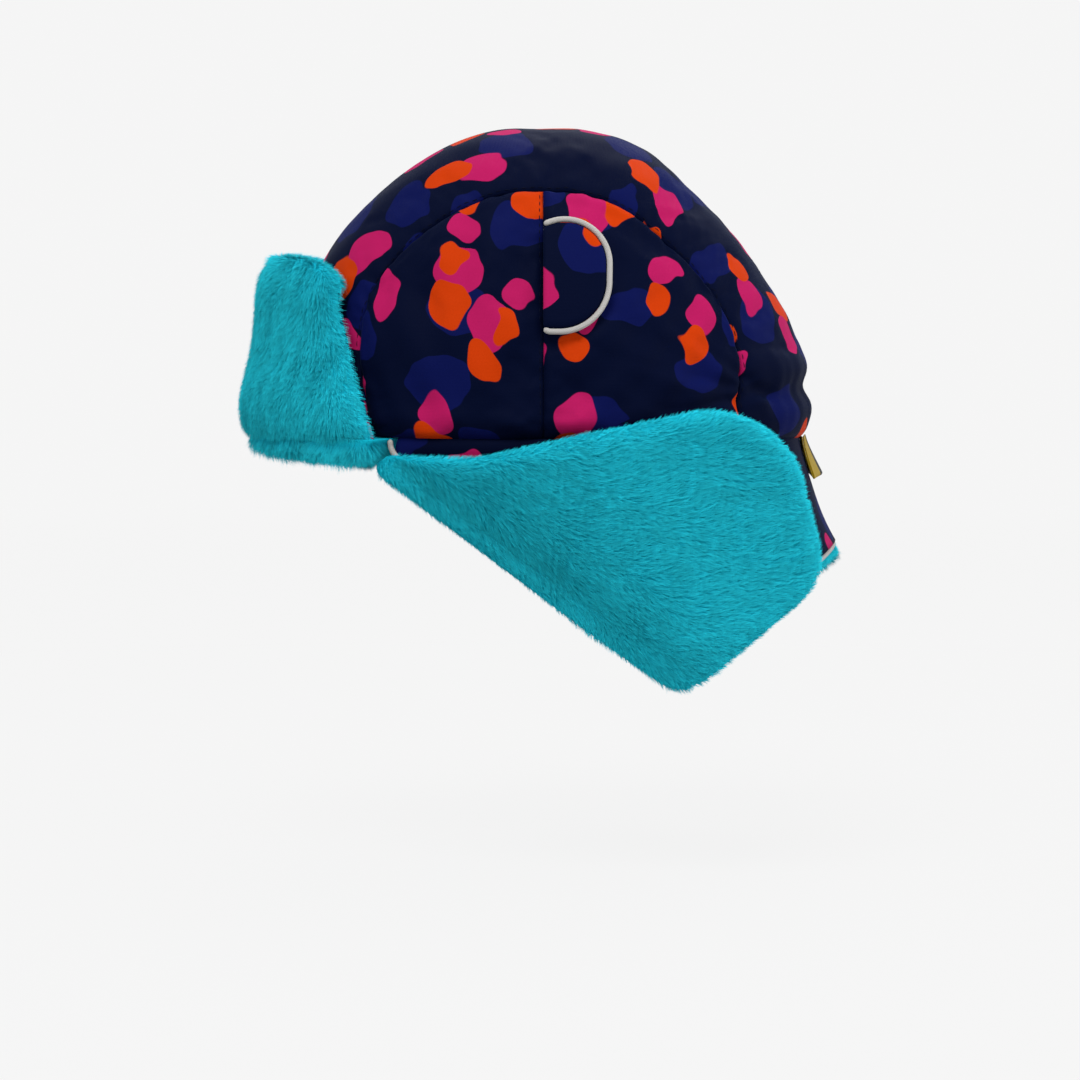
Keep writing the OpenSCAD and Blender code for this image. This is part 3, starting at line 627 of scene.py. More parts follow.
strip_cloth = sewn_panel(
    "crown_strip",
    strip_grid(111, 35, crown_start, seam_draw),
    strip_places,
    two_hems=True,
    shift=(0, 0),
    seed=1,
    side=1,
    node="crown_center_strip",
)
side_cloth = {}
for side, word, seed, spread in ((1, "left", 2, 1), (-1, "right", 8, 1.7)):
    for patch, place, shift in ((front_patch, "front", (310, 140)), (rear_patch, "rear", (575, 395))):
        side_cloth[word, place] = sewn_panel(
            f"{word}_{place}_side",
            patch_grid(patch, 33, 29, seam_gap, crown_start, seam_draw),
            panel_edge_places,
            two_hems=False,
            shift=np.array(shift) * spread,
            seed=seed + (place == "rear"),
            side=side,
            node=f"{word}_{place}_side_panel",
        )

# Seam stitches
# A row of navy thread runs along the edge of the strip, beside each long seam, and holds the folded
# seam allowance flat. Every stitch is a short spindle that sinks into the cloth at its ends.
stitch_length = 2.6
stitch_pitch = 3.4
stitch_rings = 5
stitch_sides = 6
stitch_rise = 0.22
stitch_sink = 0.1
stitch_end = 0.35
thread_r = 0.16
stitch_inset = 1.9

thread = new_material("navy_thread", roughness=0.7, sheen=0.0, specular=0.05)
thread_noise = shade(thread, "ShaderNodeTexNoise", {"Scale": 2500.0})
dress(thread, layered(thread, thread_noise.outputs["Fac"], colour(4, 8, 22), colour(10, 15, 36)))


def lengths_along(path):
    """Length of a path from its start to each of its points."""
    return np.concatenate([[0], np.cumsum(np.linalg.norm(np.diff(path, axis=0), axis=1))])


def read_at(places, lengths, values):
    """Values along a path, read at places between its lengths."""
    return np.stack([np.interp(places, lengths, column) for column in values.T], -1)


def stitch_row(path, up):
    """Spindles along a path: rings of points at even places of each stitch, thick in the middle, with
    their middle line lifted as a half sine along the surface's normal."""
    lengths = lengths_along(path)
    starts = np.arange(stitch_pitch, lengths[-1] - stitch_pitch, stitch_pitch)
    share = np.linspace(0, 1, stitch_rings)
    places = starts[:, None] + share * stitch_length
    at = read_at(places, lengths, path)
    rise = unit(read_at(places, lengths, up))
    along = unit(at[:, -1:] - at[:, :1])
    beside = unit(np.cross(along, rise))
    turn = np.linspace(0, 2 * np.pi, stitch_sides, endpoint=False)[:, None]
    middle = at + rise * (stitch_rise * np.sin(np.pi * share) - stitch_sink)[:, None]
    girth = thread_r * mix(stitch_end, 1, np.sin(np.pi * share))[:, None, None]
    around = np.cos(turn) * beside[:, :, None] + np.sin(turn) * rise[:, :, None]
    rings = middle[:, :, None] + girth * around
    n = np.arange(stitch_rings * stitch_sides).reshape(stitch_rings, stitch_sides)
    after = np.roll(n, -1, axis=1)
    walls = np.stack([n[:-1], after[:-1], after[1:], n[1:]], -1).reshape(-1, 4)
    ends = np.stack([n[0, ::-1], n[-1]])
    first = (np.arange(len(starts)) * n.size)[:, None, None]
    return rings.reshape(-1, 3), [(walls + first).reshape(-1, 4), (ends + first).reshape(-1, stitch_sides)]


def sew_edge(name, cloth, edge, side):
    """A row of stitches beside the first or last column of a panel's grid, an inset away from it."""
    u = lay_flat(cloth)[..., 0]
    column = np.argmin(np.abs(np.abs(u[:, edge, None] - u) - stitch_inset), axis=1)
    path = cloth[np.arange(len(cloth)), column]
    points, faces = stitch_row(path, crown_normal(path))
    fix(new_piece(name, points, faces, points[:, 1:], thread, side), "crown")


sew_edge("left_seam_stitches", strip_cloth, -1, 1)
sew_edge("right_seam_stitches", strip_cloth, 0, 1)
for side, word in both_sides:
    sew_edge(f"{word}_upright_stitches", side_cloth[word, "front"], -1, side)

# Crown wadding
# Three pieces of white polyester wadding lie between the printed panels and the lining, and keep the
# crown full. They are caught in the same seams, where they are pressed thin.
wadding_top = 3.0
wadding_bottom = 6.5
wadding_pinch = 2.4
wadding_hem_pinch = 2.8
wadding_hem_fade = 5
strip_rise = 105
side_rise = 80


def hat_place(material):
    """The place on the hat, in metres."""
    return shade(material, "ShaderNodeTexCoord", {}).outputs["Object"]


def napped(name, sheen, specular, scale, detail, low, high, depth):
    """A fibrous material: two tones and a bump, both from one fine noise."""
    material = new_material(name, 0.95, sheen, specular)
    fibre = noise(material, hat_place(material), scale, detail)
    tone = layered(material, fibre, colour(*low), colour(*high))
    dress(material, tone, fibre, strength=0.8, depth=depth)
    return material


wadding_white = napped(
    "polyester_wadding",
    sheen=0.3,
    specular=0.1,
    scale=900.0,
    detail=5.0,
    low=(206, 205, 200),
    high=(246, 246, 243),
    depth=0.0015,
)


def crown_layer(name, front, back, material, side, node):
    """A layer of the crown from its outer and its inner grid, fixed to the crown in place of its node."""
    obj = sheet_between(name, front, back, material, side, lay_flat(front))
    fix(obj, "crown", node)
    return obj


def wadding_layer(name, grid, rows, cols, from_hem, side, node):
    """A piece of wadding, pinched at its seams and, fading with the distance from it, at the hem."""
    depth = wadding_top + wadding_hem_pinch * np.exp(-from_hem / wadding_hem_fade)
    front = grid(rows, cols, depth, wadding_pinch)
    back = grid(rows, cols, wadding_bottom, 0)
    crown_layer(name, front, back, wadding_white, side, node)


strip_from_hem = strip_rise * np.sin(np.linspace(0, np.pi, 71))[:, None]
side_from_hem = np.linspace(0, side_rise, 31)[:, None]
wadding_layer("strip_wadding", strip_grid, 71, 25, strip_from_hem, 1, "center_wadding")
for side, word in both_sides:
    wadding_layer(f"{word}_side_wadding", side_grid, 31, 23, side_from_hem, side, f"{word}_wadding")

# Nape elastic
# A 12 mm band of woven elastic is stretched and sewn between wadding and lining at the nape, so that
# it draws the crown in there. Its ribs run along it.
elastic_w = 12.0
elastic_from = 146.0
elastic_depth = 7.25
elastic_t = 1.0
rib_pitch = 1.1
rib_height = 0.12
rib_mean = 0.15


def woven(name, roughness, sheen, specular, pitch, turn, low, high, strength, depth):
    """A woven tape: a plain weave in two tones, turned against the tape's length."""
    material = new_material(name, roughness, sheen, specular)
    turned = shade(material, "ShaderNodeMapping", {"Vector": flat_place(material), "Rotation": (0, 0, turn)})
    height = weave(material, turned.outputs[0], pitch)
    dress(material, layered(material, height, colour(*low), colour(*high)), height, strength, depth)
    return material


elastic_white = woven(
    "woven_elastic",
    roughness=0.8,
    sheen=0.2,
    specular=0.2,
    pitch=0.0009,
    turn=0,
    low=(190, 190, 186),
    high=(240, 240, 236),
    strength=0.6,
    depth=0.0004,
)


def wall_band(a, z, depth):
    """Grid of a level band on the dome's wall: for each plan angle a from the forehead and height z, the
    distance from the middle is halved in forty steps, then set inwards by a depth."""
    z, a = np.meshgrid(z, np.radians(a), indexing="ij")
    low, high = np.zeros_like(a), np.full_like(a, 140.0)
    for _ in range(40):
        far = (low + high) / 2
        x, y = far * np.sin(a), -far * np.cos(a)
        share = np.minimum(1, np.abs(x) / crown_half_width) ** side_power
        inside = share + (np.hypot(y, z) / crown_radius(side_angle(y, z))) ** 2 < 1
        low, high = np.where(inside, far, low), np.where(inside, high, far)
    grid = np.stack([low * np.sin(a), -low * np.cos(a), z], -1)
    return below_crown(grid, depth - crown_form(grid))


elastic_rows = np.linspace(waist_z - elastic_w / 2, waist_z + elastic_w / 2, 45)
elastic_ribs = rib_height * np.cos(2 * np.pi * elastic_rows / rib_pitch)[:, None]
elastic_turn = np.linspace(elastic_from, 360 - elastic_from, 61)
elastic_front = wall_band(elastic_turn, elastic_rows, elastic_depth + rib_mean + elastic_ribs)
elastic_back = wall_band(elastic_turn, elastic_rows, elastic_depth + elastic_t - rib_mean - elastic_ribs)
nape_elastic = crown_layer(
    "nape_elastic", elastic_front, elastic_back, elastic_white, 1, "rear_elastic"
)

# Crown lining
# A strip and two sides of navy fleece, sewn like the outer panels and turned in at the hem, line the
# crown. The fleece has a short nap and draws in at its seams.
lining_top = 9.0
lining_t = 1.5
lining_draw = -0.7

lining_fleece = new_material("lining_fleece", roughness=0.95, sheen=0.35, specular=0.1)
lining_place = hat_place(lining_fleece)
lining_curl = noise(lining_fleece, lining_place, scale=650.0, detail=4.0)
lining_cloud = noise(lining_fleece, lining_place, scale=60.0, detail=2.0)
lining_sum = reckon(lining_fleece, "ADD", lining_curl, lining_cloud)
lining_nap = share_of(lining_fleece, lining_sum, low=0.7, high=1.3)
lining_tone = layered(lining_fleece, lining_nap, colour(10, 16, 40), colour(27, 38, 76))
dress(lining_fleece, lining_tone, lining_curl, strength=0.8, depth=0.0012)


def lining_layer(name, grid, rows, cols, side, node):
    """A piece of lining between two depths, its inner face drawn out at the seams."""
    front = grid(rows, cols, lining_top, 0)
    back = grid(rows, cols, lining_top + lining_t, lining_draw)
    crown_layer(name, front, back, lining_fleece, side, node)


lining_layer("strip_lining", strip_grid, 91, 41, 1, "center_lining")
for side, word in both_sides:
    lining_layer(f"{word}_side_lining", side_grid, 41, 31, side, f"{word}_lining")

# Hem binding
# A 12 mm navy twill tape is sewn round the inside of the hem, over the edges of lining and flaps. Its
# two ends meet at the nape.
binding_depth = 11.25
binding_t = 1.2
binding_w = 12.0
binding_low = 0.3
binding_round = 0.35
binding_round_power = 6
binding_gap = 0.2

binding_tape = woven(
    "twill_tape",
    roughness=0.75,
    sheen=0.15,
    specular=0.25,
    pitch=0.0009,
    turn=0.9,
    low=(10, 15, 38),
    high=(30, 40, 80),
    strength=0.5,
    depth=0.0004,
)

binding_rows = np.linspace(binding_low, binding_low + binding_w, 13)
binding_angles = np.linspace(180 + binding_gap, 540 - binding_gap, 241)
binding_edge = binding_round * np.abs(np.linspace(-1, 1, 13))[:, None] ** binding_round_power
binding_front = wall_band(binding_angles, binding_rows, binding_depth + binding_edge)
binding_back = wall_band(binding_angles, binding_rows, binding_depth + binding_t - binding_edge)
hem_tape = crown_layer(
    "hem_tape", binding_front, binding_back, binding_tape, 1, "hem_binding"
)

# Front flap
# A stiffened flap stands up in front of the forehead: turquoise plush pile outside, printed cloth at
# its back. It is sewn along its lower edge, and its ends sweep back beside the brow.
front_half_width = 76.0
front_top_half_width = 52.0
front_h = 72.0
front_reach = 122.0
front_lean = 4.0
front_sweep = 50.0
front_top_sweep = 27.0
front_power = 2.2
front_corner_drop = 8.0
front_corner_power = 6
front_curl = 7.0
front_curl_from = 0.72
flap_half_t = 5.65
flap_shell_t = 2.0
ease_gap = 0.3
pad_height = 6.4
pad_round = 9
skin_t = 0.4
front_pile = 34000
pile_girth = 0.32
pile_root = 0.6
pile_edge_run = 7
pile_edge_share = 0.45
pile_lengths_vary = (0.1, 0.2)
pile_rise = 0.42
pile_rise_varies = (0.12, 0.15)
pile_least_rise = 0.12
pile_jitter = 0.22
pile_round = 0.35
swirl_waves = (19, 27, 38, 55)
length_waves = (11, 17, 24)
rise_waves = (9, 14, 23)
tuft_waves = (5, 8, 13, 21)
tuft_size = 3.8
tuft_blur = 2.2
tuft_middle = 0.6
tuft_shine = 0.55
tuft_seeds = np.array([[12.99, 39.35, 73.16], [78.23, 11.14, 52.24], [37.72, 83.16, 27.17]])
tuft_scramble = 43758.5453

pile_teal = new_material("plush_pile", roughness=0.85, sheen=0.0, specular=0.04)
pile_uv = shade(pile_teal, "ShaderNodeUVMap", {}, uv_map="OFBake").outputs[0]
pile_place = shade(pile_teal, "ShaderNodeSeparateXYZ", {"Vector": pile_uv})
# Each strand's colour runs from a darker root to a lighter tip: painted shade down in the pile, on top of
# the fur's own teal.
pile_root_shade_ramp = shade(pile_teal, "ShaderNodeValToRGB", {"Fac": pile_place.outputs[1]})
pile_root_shade_ramp.color_ramp.elements[0].position = 0.1
pile_root_shade_ramp.color_ramp.elements[0].color = colour(8, 168, 199)
pile_root_shade_ramp.color_ramp.elements[1].position = 0.8
pile_root_shade_ramp.color_ramp.elements[1].color = colour(44, 227, 248)
pile_level = carried(pile_teal, pile_place.outputs[0], low=0.8, high=1.14)
pile_tone = shade(pile_teal, "ShaderNodeHueSaturation", {"Color": pile_root_shade_ramp.outputs[0], "Value": pile_level})
dress(pile_teal, pile_tone.outputs[0])

plush_base = napped(
    "plush_ground",
    sheen=0.0,
    specular=0.04,
    scale=500.0,
    detail=3.0,
    low=(8, 150, 176),
    high=(20, 192, 214),
    depth=0.001,
)


def square_to(normal, v):
    """The part of a vector that lies square to a normal."""
    return v - normal * np.sum(normal * v, -1, keepdims=True)


def pile_roots(skin, edge, nap, count, rng):
    """Roots spread evenly by area over a grid, with the normal, the distance to the edge and the nap."""
    area = np.cumsum(cell_areas(skin).ravel())
    pick = (np.arange(count) + rng.random(count)) / count * area[-1]
    row, col = np.divmod(np.minimum(np.searchsorted(area, pick), len(area) - 1), skin.shape[1] - 1)
    s, t = rng.random((2, count, 1))

    def between(grid):
        """A grid's values at the roots, mixed from the four corners of their cells."""
        low = mix(grid[row, col], grid[row, col + 1], s)
        return mix(low, mix(grid[row + 1, col], grid[row + 1, col + 1], s), t)

    normals = unit(np.cross(np.gradient(skin, axis=1), np.gradient(skin, axis=0)))
    return between(skin), unit(between(normals)), between(edge[..., None]), between(nap)


def grow_pile(name, skin, nap, count, seed, side, edge, length=5.6, pull=0.36, sway=0.3):
    """Plush on a grid: every strand is a thin three-sided spike that leans from its root along the nap.
    The nap swirls by smooth noise, tips are drawn to their tuft, and strands are short at an edge."""
    rng = np.random.default_rng(seed)
    root, normal, inside, nap = pile_roots(skin, edge, np.broadcast_to(nap, skin.shape), count, rng)

    def varied(number, waves, smooth, rough):
        """Smooth noise over the roots and an even random part, each by its own share."""
        return smooth * smooth_noise(root, seed + number, waves) + rng.uniform(-rough, rough, count)

    swirl = sway * smooth_noise(root, seed + 1, swirl_waves) + rng.normal(0, pile_jitter, count)
    flow = unit(square_to(normal, nap))
    flow = flow * np.cos(swirl)[:, None] + np.cross(normal, flow) * np.sin(swirl)[:, None]
    beside = np.cross(normal, flow)
    tall = length * (1 + varied(2, length_waves, *pile_lengths_vary))
    tall = tall * mix(pile_edge_share, 1, ramp(inside[:, 0], 0, pile_edge_run))
    rise = np.maximum(pile_least_rise, pile_rise + varied(3, rise_waves, *pile_rise_varies))
    foot = root - pile_root * normal
    tip = root + tall[:, None] * unit(flow + rise[:, None] * normal)
    bent = tip + tuft_blur * np.stack([smooth_noise(tip, seed + 4 + i, tuft_waves) for i in range(3)], -1)
    tuft = np.floor(bent / tuft_size)
    luck = np.modf(np.abs(np.sin(tuft @ tuft_seeds) * tuft_scramble))[0]
    offset = (tuft + (1 - tuft_middle) / 2 + tuft_middle * luck) * tuft_size - bent
    tip = tip + pull * square_to(normal, offset)
    turn = (np.arange(3) * 2 * np.pi / 3)[None, :, None] + rng.uniform(0, full_turn, (count, 1, 1))
    ring = pile_girth / 2 * (np.cos(turn) * beside[:, None] + np.sin(turn) * normal[:, None])
    points = np.concatenate([foot[:, None] + ring, tip[:, None]], 1).reshape(-1, 3)
    j = np.arange(3)
    spikes = np.stack([j, (j + 1) % 3, np.full(3, 3)], -1) + (np.arange(count) * 4)[:, None, None]
    shine = tuft_shine * luck[:, 0] + (1 - tuft_shine) * rng.random(count)
    uv = np.stack(np.broadcast_arrays(shine[:, None], np.array([0, 0, 0, 1.0])), -1).reshape(-1, 2) / MM
    obj = new_piece(name, points, [spikes.reshape(-1, 3)], uv, pile_teal, side, "OFBake")
    own = np.concatenate([unit(ring), 0 * ring[:, :1]], 1)
    soft = unit(own * pile_round + normal[:, None]).reshape(-1, 3) * [side, 1, 1]
    obj.data.normals_split_custom_set_from_vertices(soft)
    return obj


def round_off(inside, width):
    """Quarter-round profile from 0 at an edge to 1 at a distance inside it."""
    return np.sqrt(1 - (1 - ramp(inside, 0, width)) ** 2)


def places(start, turn, end, before, after):
    """Places from a start to an end, in even steps before a turn and in other even steps after it."""
    return np.concatenate([np.linspace(start, turn, before, endpoint=False), np.linspace(turn, end, after)])


def front_middle(q, h):
    """Middle of the front flap at share q of its half width and h of its height: the width tapers, the
    ends sweep back by a power of q, the top curls back by a square of h, and its corners drop."""
    x = mix(front_half_width, front_top_half_width, h) * q
    curl = front_curl * np.maximum(0, (h - front_curl_from) / (1 - front_curl_from)) ** 2
    sweep = mix(front_sweep, front_top_sweep, h) * np.abs(q) ** front_power
    y = -front_reach + front_lean * h + sweep + curl
    z = mix(ease_gap, front_h - front_corner_drop * np.abs(q) ** front_corner_power, h)
    return np.stack(np.broadcast_arrays(x, y, z), -1)


def front_grid(q, h, offset):
    """Grid of the flap moved forwards from its middle by an offset along its own normal."""
    h, q = np.broadcast_arrays(h, q)
    step = 0.001
    up = front_middle(q, h + step) - front_middle(q, h - step)
    aside = front_middle(q + step, h) - front_middle(q - step, h)
    return front_middle(q, h) + np.asarray(offset)[..., None] * unit(np.cross(aside, up))


flap_end = 0.945
flap_mean_half_width = 60
flap_swell_even = 0.62
flap_swell_low = (0.6, 0.17, 0.2)
flap_swell_high = (-0.08, 0.69, 0.15)
flap_lip_start = 2.5
flap_fringe_side = 3
flap_fringe_face = 7
flap_fringe_top = 4
flap_part = 0.12
flap_part_most = 0.1
flap_part_slope = 0.5
flap_sweep_from = 0.8
flap_sweep_run = 0.18
flap_q = places(0, 0.88, 0.985, 40, 14)
flap_h = places(0, 0.08, flap_end, 8, 40)[:, None]
flap_back = front_grid(flap_q, flap_h, -flap_half_t)
flap_face = front_grid(flap_q, flap_h, -flap_half_t + flap_shell_t)

flap_floor = -flap_half_t + flap_shell_t + ease_gap
flap_swell = flap_swell_even
for rise, middle, spread in (flap_swell_low, flap_swell_high):
    flap_swell = flap_swell + rise * bell(flap_h, middle, spread)
flap_side = (flap_q[-1] - flap_q) * flap_mean_half_width
flap_lip = round_off(flap_h * front_h + flap_lip_start, pad_round)
flap_plump = flap_floor + skin_t + pad_height * flap_swell * flap_lip * round_off(flap_side, pad_round)
flap_turn = np.linspace(0, np.pi, 12)[1:, None]
flap_behind = -flap_half_t - skin_t
flap_rim = (flap_plump[-1] - flap_behind) / 2
flap_offset = np.concatenate([flap_plump, flap_behind + flap_rim * (1 + np.cos(flap_turn))])
flap_height = np.concatenate([flap_h + 0 * flap_q, flap_end + flap_rim * np.sin(flap_turn) / front_h])
flap_skin = front_grid(flap_q, flap_height, flap_offset)
flap_ground = front_grid(flap_q, np.linspace(0, flap_end, len(flap_skin))[:, None], flap_floor)
flap_fringe = np.where(flap_height < flap_end, flap_fringe_face, flap_fringe_top)
flap_fringe = np.minimum(flap_side + flap_fringe_side, flap_fringe)
flap_spread = np.clip(flap_part_slope * flap_q - flap_part, -flap_part, flap_part_most)[None, :, None]
flap_nap_down = np.array([0, 0.1, -1]) + flap_spread * [1, 0, 0]
flap_nap_back = np.array([0.2, 0.6, -0.5])
flap_nap = mix(flap_nap_down, flap_nap_back, ramp(flap_q, flap_sweep_from, flap_sweep_run)[None, :, None])
for side, word in both_sides:
    flap_bend = {"start": (side * 0.0473, 0, -0.0234), "end": (-side * 0.0286, 0, 0.0142)}
    shift = [side * 700, 60]
    backing = sheet_between(
        f"front_flap_backing_{word}", flap_face, flap_back, print_cloth, side, lay_flat(flap_back), shift
    )
    fix(backing, "front_flap", "front_flap_backing", flap_bend)
    flap_pad = sheet_between(
        f"front_flap_plush_{word}", flap_skin, flap_ground, plush_base, side, lay_flat(flap_skin)
    )
    fix(flap_pad, "front_flap", "front_flap_fur", flap_bend)
    pile = grow_pile(
        f"front_flap_pile_{word}",
        flap_skin,
        flap_nap,
        front_pile,
        40 + side,
        side,
        flap_fringe,
        length=5.4,
        pull=0.3,
        sway=0.17,
    )
    fix(pile, "front_flap", None, flap_bend)

# Front facing
# Under the flap a roll of the same plush fills the gap to the forehead. It is sewn to the flap's
# lower edge in front and to the hem behind, and its pile hangs down.
facing_depth_full = 7.5
facing_depth_power = 0.9
facing_share = 1.02
facing_narrowing = 0.86
facing_ahead_of_flap = 1.15
facing_inner = 8.0
facing_half_length = 78
facing_bulge = 6.5
facing_bulge_from = 0.6
facing_least_depth = 0.5
facing_fall_middle = 0.8
facing_fall_more = 0.35
facing_fringe = 8.0
facing_pile = 30000

facing_q = np.linspace(-facing_share, facing_share, 81)
facing_out = front_middle(facing_q, np.zeros_like(facing_q)) * [1, 1, 0]
facing_x = facing_narrowing * facing_out[:, 0]
facing_in_y = -crown_radii[0] * np.sqrt(1 - (np.abs(facing_x) / crown_half_width) ** side_power)
facing_in = np.stack([facing_x, facing_in_y, 0 * facing_x], -1)
facing_ahead = unit(facing_out - facing_in)
facing_front = facing_out + facing_ahead * facing_ahead_of_flap
facing_back = facing_in - facing_ahead * facing_inner
facing_turn = np.linspace(0, np.pi, 25)[:, None, None]
facing_ends = round_off((1 - np.abs(facing_q) / facing_share) * facing_half_length, pad_round)[:, None]
facing_ground = mix(facing_front, facing_back, (1 - np.cos(facing_turn)) / 2) - [0, 0, ease_gap]
facing_fall = (facing_fall_middle + facing_fall_more * facing_q**2)[:, None]
facing_profile = np.sin(facing_turn) ** facing_depth_power
facing_depth = facing_least_depth + facing_depth_full * facing_profile * facing_ends * facing_fall
facing_roll = np.sin(facing_turn) ** 2 * np.maximum(0, np.cos(facing_turn)) * facing_ends
facing_roll = facing_bulge * facing_roll * ramp(np.abs(facing_q), 0, facing_bulge_from)[:, None] ** 2
facing_skin = facing_ground - facing_depth * [0, 0, 1] + facing_roll * facing_ahead
facing_pad = sheet_between(
    "front_facing_plush", facing_ground, facing_skin, plush_base, 1, lay_flat(facing_skin)
)
fix(facing_pad, "crown", "front_fur_facing")
facing_edge = np.full(facing_skin.shape[:2], facing_fringe)
facing_nap = np.array([0, 0.15, -1])
facing_strands = grow_pile(
    "front_facing_pile",
    facing_skin[:, ::-1],
    facing_nap,
    facing_pile,
    50,
    1,
    facing_edge,
    length=6.5,
    pull=0.55,
    sway=0.7,
)
fix(facing_strands, "crown")

# Ear flap bases
# On each side a flap hangs from the hem: printed cloth outside, plush inside. Its lower edge is where
# the ear lobe folds up, and behind that it is piped and joins the neck flap.
flap_start = 53.0
fold_end = 118.0
base_end = 147.7
fold_front_drop = 11.0
fold_rear_drop = 93.0
nape_drop = 44.5
edge_power = 1.9
fold_corner_rise = 3.5
fold_corner_spread = 8.0
fold_flare = 5.0
nape_flare = 12.0
hem_tuck = 3.2
hem_tuck_fade = 3
nape_tuck = 3.6
nape_tuck_spread = 15
nape_bow = 2.2
plush_full = 6.6
plush_round = 7
plush_hang = 2.2
plush_rows = 13
plush_free_run = 15
plush_last_t = 0.1
rim_fringe = 0.3
rim_last_fringe = 0.2
mm_per_degree = 1.5
row_power = 1.4
trim_drop = 1.6
base_trim_start = 120
base_pile = 20000


def hem_at(a):
    """Point of the hem at angle a from the forehead: a superellipse, a gap below the crown."""
    turn = np.radians(a)
    x = crown_half_width * np.sign(np.sin(turn)) * np.abs(np.sin(turn)) ** (2 / side_power)
    y = -crown_radii[0] * np.cos(turn)
    return np.stack(np.broadcast_arrays(x, y, -ease_gap), -1)


def hem_normal(a):
    """Outward normal of the hem's superellipse."""
    x, y, _ = np.moveaxis(hem_at(a), -1, 0)
    return unit(np.stack(np.broadcast_arrays(side_slope(x), 2 * y / crown_radii[0] ** 2, 0.0), -1))


fold_front = hem_at(flap_start) - [0, 0, fold_front_drop]
fold_rear = hem_at(fold_end) + fold_flare * hem_normal(fold_end) - [0, 0, fold_rear_drop]


def lower_edge(a):
    """The flaps' lower edge: straight along the fold, then rising to the nape by a power while it flares,
    with the corner between them rounded by a bell curve."""
    a = np.asarray(a, float)[..., None]
    s = ramp(a, fold_end, 180 - fold_end)
    drop = mix(nape_drop, fold_rear_drop, (1 - s) ** edge_power)
    curve = hem_at(a[..., 0]) + mix(fold_flare, nape_flare, s) * hem_normal(a[..., 0]) - drop * [0, 0, 1]
    straight = mix(fold_front, fold_rear, (a - flap_start) / (fold_end - flap_start))
    rise = fold_corner_rise * bell(a, fold_end, fold_corner_spread)
    return np.where(a <= fold_end, straight, curve) + rise * [0, 0, 1]


def hem_drop(a):
    """Distance from the hem to the flaps' lower edge."""
    return np.linalg.norm(lower_edge(a) - hem_at(a), axis=-1)


def flap_grid(a, v, depth, below=0):
    """Grid of a hanging flap: from the hem (v 0) to the lower edge (v 1), bowed outwards towards the nape,
    set inwards by a depth and tucked under at the hem seam. The plush hangs below that edge."""
    v, a = np.meshgrid(v, a, indexing="ij")
    drop = hem_drop(a)
    v = v * (1 + below / drop)
    s = ramp(a, fold_end, 180 - fold_end)
    fall = v * drop
    side_tuck = hem_tuck * np.exp(-fall / hem_tuck_fade)
    depth = np.asarray(depth) + mix(side_tuck, nape_tuck * bell(fall, 0, nape_tuck_spread), s)
    top, edge = hem_at(a), lower_edge(a)
    plan = mix(top[..., :2], edge[..., :2], (v ** mix(1, nape_bow, s))[..., None])
    level = mix(top[..., 2] + ease_gap, edge[..., 2], v)
    return np.concatenate([plan, level[..., None]], -1) - depth[..., None] * hem_normal(a)


def hanging_plush(a, v):
    """Grid of the plush inside a hanging flap, and its distance from an edge: from the hem down the inner
    side, round the lower rim as a half circle, and up the outer side to the piping. In front of the fold's
    rear end it thins out to the fold instead."""
    free = ramp(a, fold_end, plush_free_run)
    to_fold = (1 - v)[:, None] * hem_drop(a)
    from_front = (a - flap_start) * mm_per_degree
    thick = plush_full * round_off(from_front, plush_round) * mix(round_off(to_fold, plush_round), 1, free)
    thick = np.maximum(thick, skin_t)
    turn = np.linspace(0, np.pi, plush_rows)[:, None]
    rim = thick[-1] / 2
    depth = np.concatenate([thick, rim * (1 + np.cos(turn)), plush_last_t + 0 * thick[-1:]])
    below = np.concatenate([0 * thick, free * plush_hang + rim * np.sin(turn), -free[None]])
    rows = np.concatenate([v, np.ones(plush_rows + 1)])
    inside = np.minimum(from_front, mix(to_fold, pile_edge_run, free))
    rim_edge = inside[-1] * mix(1, rim_fringe, turn / np.pi)
    edge = np.concatenate([inside, rim_edge, rim_last_fringe * inside[-1:]])
    return flap_grid(a, rows, flap_shell_t + ease_gap + depth, below), edge


piping_grey = woven(
    "piping_cover",
    roughness=0.55,
    sheen=0.2,
    specular=0.3,
    pitch=0.0006,
    turn=0.78,
    low=(164, 161, 158),
    high=(203, 201, 196),
    strength=0.4,
    depth=0.0003,
)
piping_r = 1.15
piping_sides = 10
piping_end = 0.3


def piping(name, path, face, side, body, node=None, bend=None):
    """A covered cord along a path: rings of points round it, the first always towards a given face
    direction, drawn together at both ends."""
    along = unit(np.gradient(path, axis=0))
    out = unit(square_to(along, face))
    aside = np.cross(along, out)
    turn = np.linspace(0, 2 * np.pi, piping_sides + 1)[:-1]
    lengths = lengths_along(path)
    from_end = np.minimum(lengths, lengths[-1] - lengths)
    girth = piping_r * np.maximum(piping_end, round_off(from_end, piping_r))[:, None, None]
    round_about = np.cos(turn)[:, None] * out[:, None] + np.sin(turn)[:, None] * aside[:, None]
    points = (path[:, None] + girth * round_about).reshape(-1, 3)
    uv = np.stack(np.broadcast_arrays(lengths[:, None], turn * piping_r), -1).reshape(-1, 2)
    n = np.arange(len(points)).reshape(-1, piping_sides)
    after = np.roll(n, -1, axis=1)
    walls = np.stack([after[:-1], after[1:], n[1:], n[:-1]], -1).reshape(-1, 4)
    ends = np.stack([n[0, ::-1], n[-1]])
    fix(new_piece(name, points, [walls, ends], uv, piping_grey, side), body, node, bend)


